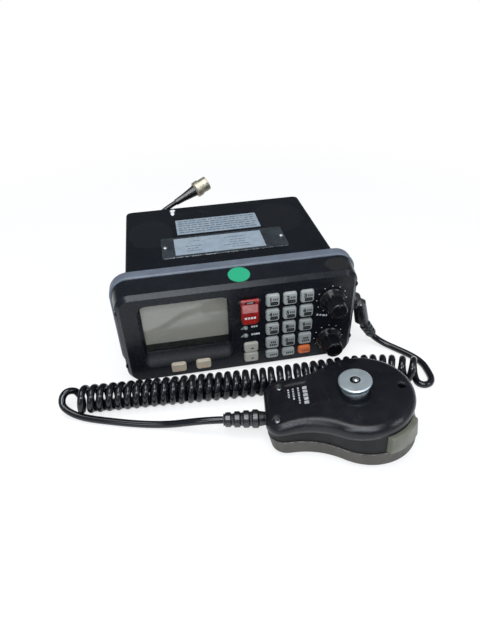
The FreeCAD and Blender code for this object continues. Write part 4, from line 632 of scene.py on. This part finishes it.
def key_prints():
    """A digit and bare bars on the number keys, bars, arrows and worn lines on the others."""
    for row, names in enumerate(DIGITS):
        for column, name in enumerate(names):
            x = KEY_X + column * KEY_STEP[0]
            z = KEY_Z + row * KEY_STEP[1]
            place = on_front(x, z, -KEY_OUT)

            def build(bm, name=name, place=place):
                if name.isdigit():
                    add_digit(bm, name, DIGIT_SIZE, place, -2.0, 1.2)
                    for k in range(3):
                        plaque(bm, shifted(outline(1.2, 2.2, 0.3), 0.5 + 1.6 * k, 1.2), place,
                               index=1)
                    plaque(bm, shifted(outline(7.0, 3.6, 1.2), 1.0, -2.7), place)
                    for k in range(3):
                        plaque(bm, shifted(outline(1.0, 1.5, 0.2, 2), -0.8 + 1.8 * k, -2.7), place,
                               0.05, index=1)
                else:
                    for row_z, count in ((1.0, 3), (-2.0, 4)):
                        for k in range(count):
                            x_mark = 0.6 + 1.75 * (k - (count - 1) / 2)
                            plaque(bm, shifted(outline(1.25, 2.1, 0.3), x_mark, row_z), place)

            print_ = new_mesh("print_" + name, build, ["print_black", "print_grey"])
            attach(print_, "key_" + name)
    for column, name in enumerate(("menu", "clear", "enter")):
        place = on_front(KEY_X + column * KEY_STEP[0], KEY_Z - SHORT_ROW_DROP, -KEY_OUT)

        def build(bm, place=place):
            for k in range(4):
                plaque(bm, shifted(outline(1.2, 2.0, 0.3), -1.6 + 1.75 * k, -0.5), place)

        print_ = new_mesh("print_" + name, build, "print_black" if name != "enter" else "worn_red")
        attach(print_, "key_" + name)
    for name, z, sign in ARROWS:
        place = on_front(ARROW_X, z, -KEY_OUT)

        def build(bm, place=place, sign=sign):
            low = -1.5 if sign > 0 else -0.3
            plaque(bm, [(-1.0, low), (2.6, low), (0.8, low + sign * 1.9)], place)

        print_ = new_mesh("print_" + name, build, "print_black")
        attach(print_, "key_" + name)
    for name, x in SOFT_KEYS:
        place = on_front(x, SOFT_MARK_Z, -KEY_OUT)
        print_ = new_mesh("print_" + name, lambda bm: plaque(bm, outline(*SOFT_MARK), place),
                          "worn_orange")
        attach(print_, "key_" + name)


LAMP_X = 3.9
LAMP_Z = (48.0, 39.4)
LAMP_TAIL = ((0.6, 2.0), (-1.4, 1.6), (-3.9, -0.5), (-4.6, -1.6), (-3.2, -1.6), (-1.0, -1.9),
             (0.6, -2.0))       # to the left of the solid lens
LAMP_BARS = (3, 4)              # bars beside each lamp
DISPLAY_X = -47.25
DISPLAY_Y = 6.35                # just in front of the display's face
MASK_SIZE, MASK_Z = (73.3, 6.8), 35.0       # dark strip below the picture
PICTURE_SIZE, PICTURE_Z = (73.3, 42.7), 59.7


def display_prints():
    """The display's picture, the dark strip under it, and tails and bars of the two lamps."""
    for name, size, z, ink, slot in (
            ("display_mask", MASK_SIZE, MASK_Z, "recess_black", "panel_black"),
            ("display_picture", PICTURE_SIZE, PICTURE_Z, "lcd_picture", "lcd_grey")):
        place = on_front(DISPLAY_X, z, DISPLAY_Y)
        piece = new_mesh(name, lambda bm: plaque(bm, outline(*size, 0.3), place, 0.02), ink)
        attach(piece, "radio")

    def build(bm):
        for z in LAMP_Z:
            plaque(bm, LAMP_TAIL, on_front(LAMP_X, z, 0.0), 0.25)
    tails = new_mesh("lamp_tails", build, "led_lens")
    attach(tails, "radio")

    def bars(bm):
        for z, count in zip(LAMP_Z, LAMP_BARS):
            for k in range(count):
                plaque(bm, outline(1.6, 1.9, 0.4), on_front(LAMP_X + 5.8 + 2.0 * k, z + 0.2, 0.0))
    beside = new_mesh("lamp_bars", bars, "print_white")
    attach(beside, "radio")


KNOB_X = 80.6
KNOB_Z = {"volume": 67.0, "squelch": 24.8}
DIAL_R = 13.4
DIAL_DOTS = 11
DIAL_FIRST, DIAL_STEP = 240, 30     # degrees of the first dot, and from dot to dot
DIAL_MARKS = ((68.8, 51.9, 2.0), (71.6, 51.3, 1.6), (74.6, 50.4, 2.2), (77.2, 50.0, 1.4))


def panel_prints():
    """White dot scales round both knobs and the row of short marks between them."""
    def build(bm):
        for z0 in KNOB_Z.values():
            for k in range(DIAL_DOTS):
                a = math.radians(DIAL_FIRST - DIAL_STEP * k)
                place = on_front(KNOB_X + DIAL_R * math.cos(a), z0 + DIAL_R * math.sin(a), 0.0)
                plaque(bm, outline(1.0, 1.0, 0.5, 3), place)
        for x, z, width in DIAL_MARKS:
            plaque(bm, outline(width, 1.9, 0.4), on_front(x, z, 0.0))
    dots = new_mesh("dial_dots", build, "print_white")
    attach(dots, "radio")


UPPER_PAPER = (-2.0, 119.0, CASE_TOP + 0.25)    # middle of the paper's upper face
LOWER_PAPER = (-6.0, 77.3, CASE_TOP + 1.25)
TEXT_LINES, TEXT_W, TEXT_H = 6, 78.0, 24.0      # of the upper paper
SHORT_TEXT = ((-20, 8.5, 7), (-24, -1.0, 16), (-24, -5.5, 12), (-24, -10.0, 14), (16, 8.5, 20),
              (18, 3.0, 14), (18, -1.5, 16), (16, -6.0, 24), (20, -10.5, 18))   # x, y and length


def label_prints():
    """Rows of faded dashes on the two papers."""
    def build(bm):
        place = on_top(*UPPER_PAPER)
        for k in range(TEXT_LINES):
            y = TEXT_H / 2 - TEXT_H * k / (TEXT_LINES - 1)
            x = -TEXT_W / 2
            while x < TEXT_W / 2 - 3:
                run = min(random.uniform(2.0, 7.0), TEXT_W / 2 - x)
                plaque(bm, shifted(outline(run, 1.5, 0.3, 1), x + run / 2, y), place, 0.02)
                x += run + 1.2
        place = on_top(*LOWER_PAPER)
        for x, y, run in SHORT_TEXT:
            x -= run / 2
            while run > 1.5:
                part = min(run, random.uniform(1.8, 4.0))
                plaque(bm, shifted(outline(part, 1.0, 0.2, 1), x + part / 2, y), place, 0.02)
                x += part + 0.8
                run -= part + 0.8
    prints = new_mesh("label_lines", build, "print_faded")
    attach(prints, "radio")


COVER_X = 7.4
COVER_Y = -5.0                  # its front face
COVER_DASHES = (2.2, 1.5, 2.4, 1.6)


def cover_details():
    """Pale label on the red cover's upper half, dashes below, the clip over its hinge, and a
    near-black plaque under the clip as its painted shadow.
    """
    def plate(size, z, front, thick=0.03):
        return lambda bm: plaque(bm, outline(*size), on_front(COVER_X, z, front), thick)

    def dashes(bm):
        for k, width in enumerate(COVER_DASHES):
            plaque(bm, outline(width, 2.1, 0.3), on_front(3.6 + 2.6 * k, 61.4, COVER_Y))
    for name, build, ink, slot in (
            ("cover_label", plate((13.2, 8.4, 0.8), 71.2, COVER_Y), "pink_label", "cover_red"),
            ("cover_clip", plate((5.4, 1.2, 0.4), 77.2, COVER_Y - 0.02, 0.3), "steel", "steel"),
            # Painted shadow: a near-black plaque under the clip.
            ("cover_clip_shadow", plate((8.6, 2.4, 0.8), 77.4, COVER_Y), "recess_black", "panel_black"),
            ("cover_dashes", dashes, "print_white", "cover_red")):
        piece = new_mesh(name, build, ink)
        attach(piece, "distress_cover")


KNOB_END = -20.5                # y of the knobs' ends
KNOB_BAR_UP = 6.0


def knob_marks():
    """Grey bar at the top of each knob's end."""
    for name, z in KNOB_Z.items():
        place = on_front(KNOB_X, z + KNOB_BAR_UP, KNOB_END)
        mark = new_mesh("knob_bar_" + name, lambda bm: plaque(bm, outline(1.0, 2.0, 0.4), place),
                        "print_grey")
        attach(mark, name + "_knob")


MIC_TOP = ((0.0, 29.3), (57.1, 42.3), (114.2, 46.0))    # arched top: along and above
MIC_CROWN = 250.0               # the top is crowned across round a line this far under the table
FIELD_SUNK = 0.4
FIELD_EDGE_V = 11.5             # where each row of dashes starts
FIELD_GAP = 0.9
FIELD_ROWS = ((31.6, 5, 3.0, 3.4), (26.6, 7, 1.7, 1.3), (22.6, 5, 1.7, 1.3),
              (19.0, 4, 1.7, 1.3))      # place, number of dashes, their length and height


def mic_top(u, v, lift):
    """Point that far above the microphone's arched and crowned top, in drawing millimetres."""
    (u0, w0), (u1, w1), (u2, w2) = MIC_TOP
    a = ((u1 - u0), (w1 - w0), ((u1 ** 2 - u0 ** 2) + (w1 ** 2 - w0 ** 2)) / 2)
    b = ((u2 - u0), (w2 - w0), ((u2 ** 2 - u0 ** 2) + (w2 ** 2 - w0 ** 2)) / 2)
    det = a[0] * b[1] - a[1] * b[0]
    centre = ((a[2] * b[1] - a[1] * b[2]) / det, (a[0] * b[2] - a[2] * b[0]) / det)
    radius = math.hypot(u0 - centre[0], w0 - centre[1])
    height = centre[1] + math.sqrt(radius ** 2 - (u - centre[0]) ** 2)
    span = MIC_CROWN + height
    return mic_at(u, v, height - span + math.sqrt(span ** 2 - v ** 2) + lift)


def mic_prints():
    """Rows of grey dashes in the sunk field."""
    def build(bm):
        for u, count, length, height in FIELD_ROWS:
            for k in range(count):
                v = FIELD_EDGE_V - (length + FIELD_GAP) * k - length / 2

                def place(x, z, h, u=u, v=v):
                    return at(*mic_top(u + x, v + z, h - FIELD_SUNK))
                plaque(bm, outline(height, length, 0.3), place)
    field = new_mesh("mic_dashes", build, "print_mic")
    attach(field, "microphone")


BAND_R = 39.38                  # a little inside the microphone's middle ring
BAND_HEAD_U = 73.9
BAND_LOW, BAND_HIGH = 15.85, 36.0
BAND_ROWS, BAND_STEPS = 12, 20
BAND_FLAT_U = 113.6             # the solid ring is cut off a little beyond this
BAND_MOST = math.radians(24.3)  # the button's window starts here
BAND_LEAN = 0.20
BAND_SPLIT = (22.5, 0.141)      # the back shell's lower edge: height at the tail, and its rise


def band_end():
    """Round end of the microphone's middle ring, closing the flat cut that the solid has there."""
    stretch = 1.0 + BAND_LEAN * BAND_SPLIT[1]

    def build(bm):
        rows = []
        for k in range(BAND_ROWS):
            w = BAND_LOW + (BAND_HIGH - BAND_LOW) * k / (BAND_ROWS - 1)
            step_out = BAND_LEAN * (BAND_SPLIT[0] - w)
            reach = ((BAND_FLAT_U - step_out) / stretch - BAND_HEAD_U) / BAND_R
            most = min(BAND_MOST, math.acos(reach))
            row = []
            for i in range(BAND_STEPS + 1):
                a = most * (2 * i / BAND_STEPS - 1)
                u = (BAND_HEAD_U + BAND_R * math.cos(a)) * stretch + step_out
                row.append(bm.verts.new(at(*mic_at(u, BAND_R * math.sin(a), w))))
            rows.append(row)
        for low, high in zip(rows, rows[1:]):
            for i in range(BAND_STEPS):
                bm.faces.new((low[i], low[i + 1], high[i + 1], high[i])).smooth = True
            bm.faces.new((low[0], high[0], high[-1], low[-1]))
        bm.faces.new(rows[0])
        bm.faces.new(rows[-1])
    piece = new_mesh("mic_band_end", build, "mic_band_grey")
    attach(piece, "microphone")


BUTTON_UV = (69.0, 1.5)         # hang-up button's foot on the microphone's top
BUTTON_RISE = 8.3               # its end above that
BUTTON_SHADE_SIZE = (7.8, 7.8, 3.89, 8)
DOME = ((0.0, 2.6), (0.5, 2.5), (0.95, 2.0), (1.25, 1.2), (1.35, 0.4))     # heights and radii
DOME_STEPS = 24
DOME_AHEAD = 0.5                # how far the dome sits off the gap's middle


def button_end():
    """Dark ring painted round the domed screw in the hang-up button's end as the shade of the gap
    there, and the dome.
    """
    u, v = BUTTON_UV
    foot = at(*mic_top(u, v, 0.0))
    ahead = (at(*mic_top(u + 1.0, v, 0.0)) - at(*mic_top(u - 1.0, v, 0.0))).normalized()
    across = (at(*mic_at(u, v + 1.0, 0.0)) - at(*mic_at(u, v - 1.0, 0.0))).normalized()
    axis = ahead.cross(across).normalized()
    centre = foot + axis * BUTTON_RISE * MM

    # Painted shade: a near-black ring where the gap round the screw lies.
    def ring(bm):
        plaque(bm, outline(*BUTTON_SHADE_SIZE),
               lambda x, z, h: centre + (ahead * x + across * z + axis * (h - 0.05)) * MM, 0.07)

    def dome(bm):
        rows = []
        for lift, r in DOME:
            rows.append([bm.verts.new(centre + (ahead * (DOME_AHEAD + r * math.cos(a))
                                                + across * r * math.sin(a) + axis * lift) * MM)
                         for a in (2 * math.pi * k / DOME_STEPS for k in range(DOME_STEPS))])
        for low, high in zip(rows, rows[1:]):
            for k in range(DOME_STEPS):
                bm.faces.new((low[k], low[k - 1], high[k - 1], high[k]))
        bm.faces.new(rows[-1])
    for name, build, ink, slot in (("button_gap_shade", ring, "recess_black", "mic_black"),
                                   ("button_dome", dome, "steel", "steel")):
        piece = new_mesh(name, build, ink)
        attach(piece, "microphone")


SCREW_UV = ((12.4, 15.3), (8.8, -17.0))
SCREW_SUNK = 0.6


def screw_cross_shades():
    """Dark crosses painted in the heads of the two screws that show on the microphone, as the shade
    of their cross recesses.
    """
    def build(bm):
        for u, v in SCREW_UV:
            top = mic_top(u, 0.0, 0.0)[2] - SCREW_SUNK
            for width, height in ((3.0, 0.7), (0.7, 3.0)):
                plaque(bm, outline(width, height, 0.3, 2),
                       lambda x, z, h: at(*mic_at(u + x, v + z, top + h)), 0.04)
    cross_shades = new_mesh("screw_cross_shades", build, "recess_black")
    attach(cross_shades, "microphone")


band_end()
knob_marks()
mic_prints()
button_end()
screw_cross_shades()
key_prints()
display_prints()
panel_prints()
label_prints()
cover_details()

for cord in (curly_cord, antenna_lead, mic_lead):
    cord.data.materials.append(MATERIALS["cord_black"])
for cord in (curly_cord, antenna_lead):
    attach(cord, "radio")
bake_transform(mic_lead)
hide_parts("cord_coil", "cord_plug_lead")
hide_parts("cord_mic_lead")
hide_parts("antenna_cable")


# ---------------------------------------------------------------- floor and light
GLOW_NEAR = 0.72                # share of the floor's light as seen that is plain white
GLOW_REACH = (0.28, 0.60)       # metres over which that share grows to the whole
COIL_SHADE = (-28.0, -0.06)     # line along the coil in plan: y at x = 0 and its slope
COIL_SPAN = (-7.0, 131.0)       # middle and half-length of the painted shadow under it
COIL_HALF = 8.5                 # its half-width
SHADE_SOFT = (3.0, 4.0)         # how it fades at its sides and its ends
FLOOR_GREY = (0.86, 0.86, 0.86)
# near-black colour painted on the floor under the coil as its shadow
PAINTED_SHADOW_GREY = (0.03, 0.03, 0.032)
FLOOR_CORNERS = ((-9, -6), (9, -6), (9, 12), (-9, 12))      # metres


def painted_coil_shadow(n):
    """Mask of the floor's painted shadow under the coil, a near-black strip that shows between its
    turns.
    """
    where = n.add("ShaderNodeSeparateXYZ")
    n.put(where.inputs[0], n.place)
    middle = n.math("ADD", n.math("MULTIPLY", where.outputs["X"], COIL_SHADE[1]),
                    (COIL_SHADE[0] + SHIFT_Y) * MM)
    across = n.math("ABSOLUTE", n.math("SUBTRACT", where.outputs["Y"], middle))
    along = n.math("ABSOLUTE", n.math("SUBTRACT", where.outputs["X"], COIL_SPAN[0] * MM))
    return n.math("MULTIPLY", n.ramp(across, COIL_HALF * MM, (COIL_HALF - SHADE_SOFT[0]) * MM),
                  n.ramp(along, COIL_SPAN[1] * MM, (COIL_SPAN[1] - SHADE_SOFT[1]) * MM))


def glow_share(n):
    """White share of the floor as seen: none under the coil, all of it far away."""
    reach = n.add("ShaderNodeVectorMath", operation="LENGTH")
    n.put(reach.inputs[0], n.place)
    share = n.ramp(reach.outputs["Value"], *GLOW_REACH, GLOW_NEAR, 1.0)
    return n.math("MULTIPLY", share, n.math("SUBTRACT", 1.0, painted_coil_shadow(n)))


def stage():
    """Pale floor that takes soft shadows and looks plain white further off, with a painted shadow
    under the coil.
    """
    def build(bm):
        bm.faces.new([bm.verts.new((x, y, 0)) for x, y in FLOOR_CORNERS])
    material = bpy.data.materials.new("floor")
    n = Nodes(material)
    # Painted shadow: the floor's colour is mixed to near black in the strip under the coil.
    n.put(n.shader.inputs["Base Color"], n.mix(painted_coil_shadow(n), FLOOR_GREY, PAINTED_SHADOW_GREY))
    n.shader.inputs["Roughness"].default_value = 0.9
    n.shader.inputs["Specular IOR Level"].default_value = 0.1
    MATERIALS["floor"] = material
    white = n.add("ShaderNodeEmission")
    rays = n.add("ShaderNodeLightPath")
    seen = n.math("MAXIMUM", rays.outputs["Is Camera Ray"], rays.outputs["Is Transmission Ray"])
    blend = n.add("ShaderNodeMixShader")
    n.put(blend.inputs[0], n.math("MULTIPLY", seen, glow_share(n)))
    n.put(blend.inputs[1], n.shader.outputs[0])
    n.put(blend.inputs[2], white.outputs[0])
    n.put(n.tree.nodes["Material Output"].inputs["Surface"], blend.outputs[0])
    new_mesh("floor", build, "floor")


def lamp(name, place, target, size, power, colour=(1, 1, 1)):
    """Area lamp at a place, turned to a target, in metres and watts."""
    data = bpy.data.lights.new(name, "AREA")
    data.shape = "RECTANGLE"
    data.size, data.size_y = size
    data.energy = power
    data.color = colour
    obj = linked(name, data)
    obj.location = place
    obj.rotation_euler = (Vector(target) - Vector(place)).to_track_quat("-Z", "Y").to_euler()


SKY = (0.88, 0.94, 1.0, 1.0)
SKY_FADE = (0.1, 0.7)           # towards the back of the sky, where its strength falls
SKY_STRENGTH = (0.40, 0.14)
LAMPS = (
    ("overhead", (-0.15, -0.12, 1.35), (0, 0, 0.04), (1.0, 0.7), 12.0),
    ("front", (-0.15, -0.85, 1.08), (0, 0, 0.05), (0.8, 0.3), 9.0, (0.86, 0.93, 1.0)),
    ("front_left", (-0.75, -1.05, 0.75), (0, 0, 0.05), (0.35, 0.5), 2.0, (0.97, 0.98, 1.0)),
    ("right", (0.9, -0.8, 0.8), (0, -0.05, 0.05), (0.4, 0.5), 4.0, (0.9, 0.95, 1.0)))


def light():
    """Soft sky, dimmer towards the back and white as seen, with four area lamps."""
    world = bpy.data.worlds.new("world")
    world.use_nodes = True
    tree = world.node_tree
    soft = tree.nodes["Background"]
    soft.inputs["Color"].default_value = SKY
    place = tree.nodes.new("ShaderNodeTexCoord")
    where = tree.nodes.new("ShaderNodeSeparateXYZ")
    fade = tree.nodes.new("ShaderNodeMapRange")
    fade.inputs["From Min"].default_value, fade.inputs["From Max"].default_value = SKY_FADE
    fade.inputs["To Min"].default_value, fade.inputs["To Max"].default_value = SKY_STRENGTH
    tree.links.new(place.outputs["Generated"], where.inputs[0])
    tree.links.new(where.outputs["Y"], fade.inputs["Value"])
    tree.links.new(fade.outputs["Result"], soft.inputs["Strength"])
    white = tree.nodes.new("ShaderNodeBackground")
    white.inputs["Color"].default_value = (1.0, 1.0, 1.0, 1.0)
    rays = tree.nodes.new("ShaderNodeLightPath")
    blend = tree.nodes.new("ShaderNodeMixShader")
    tree.links.new(rays.outputs["Is Camera Ray"], blend.inputs[0])
    tree.links.new(soft.outputs[0], blend.inputs[1])
    tree.links.new(white.outputs[0], blend.inputs[2])
    tree.links.new(blend.outputs[0], tree.nodes["World Output"].inputs["Surface"])
    bpy.context.scene.world = world
    for row in LAMPS:
        lamp(*row)


stage()
light()
bpy.context.scene.view_settings.view_transform = "Standard"
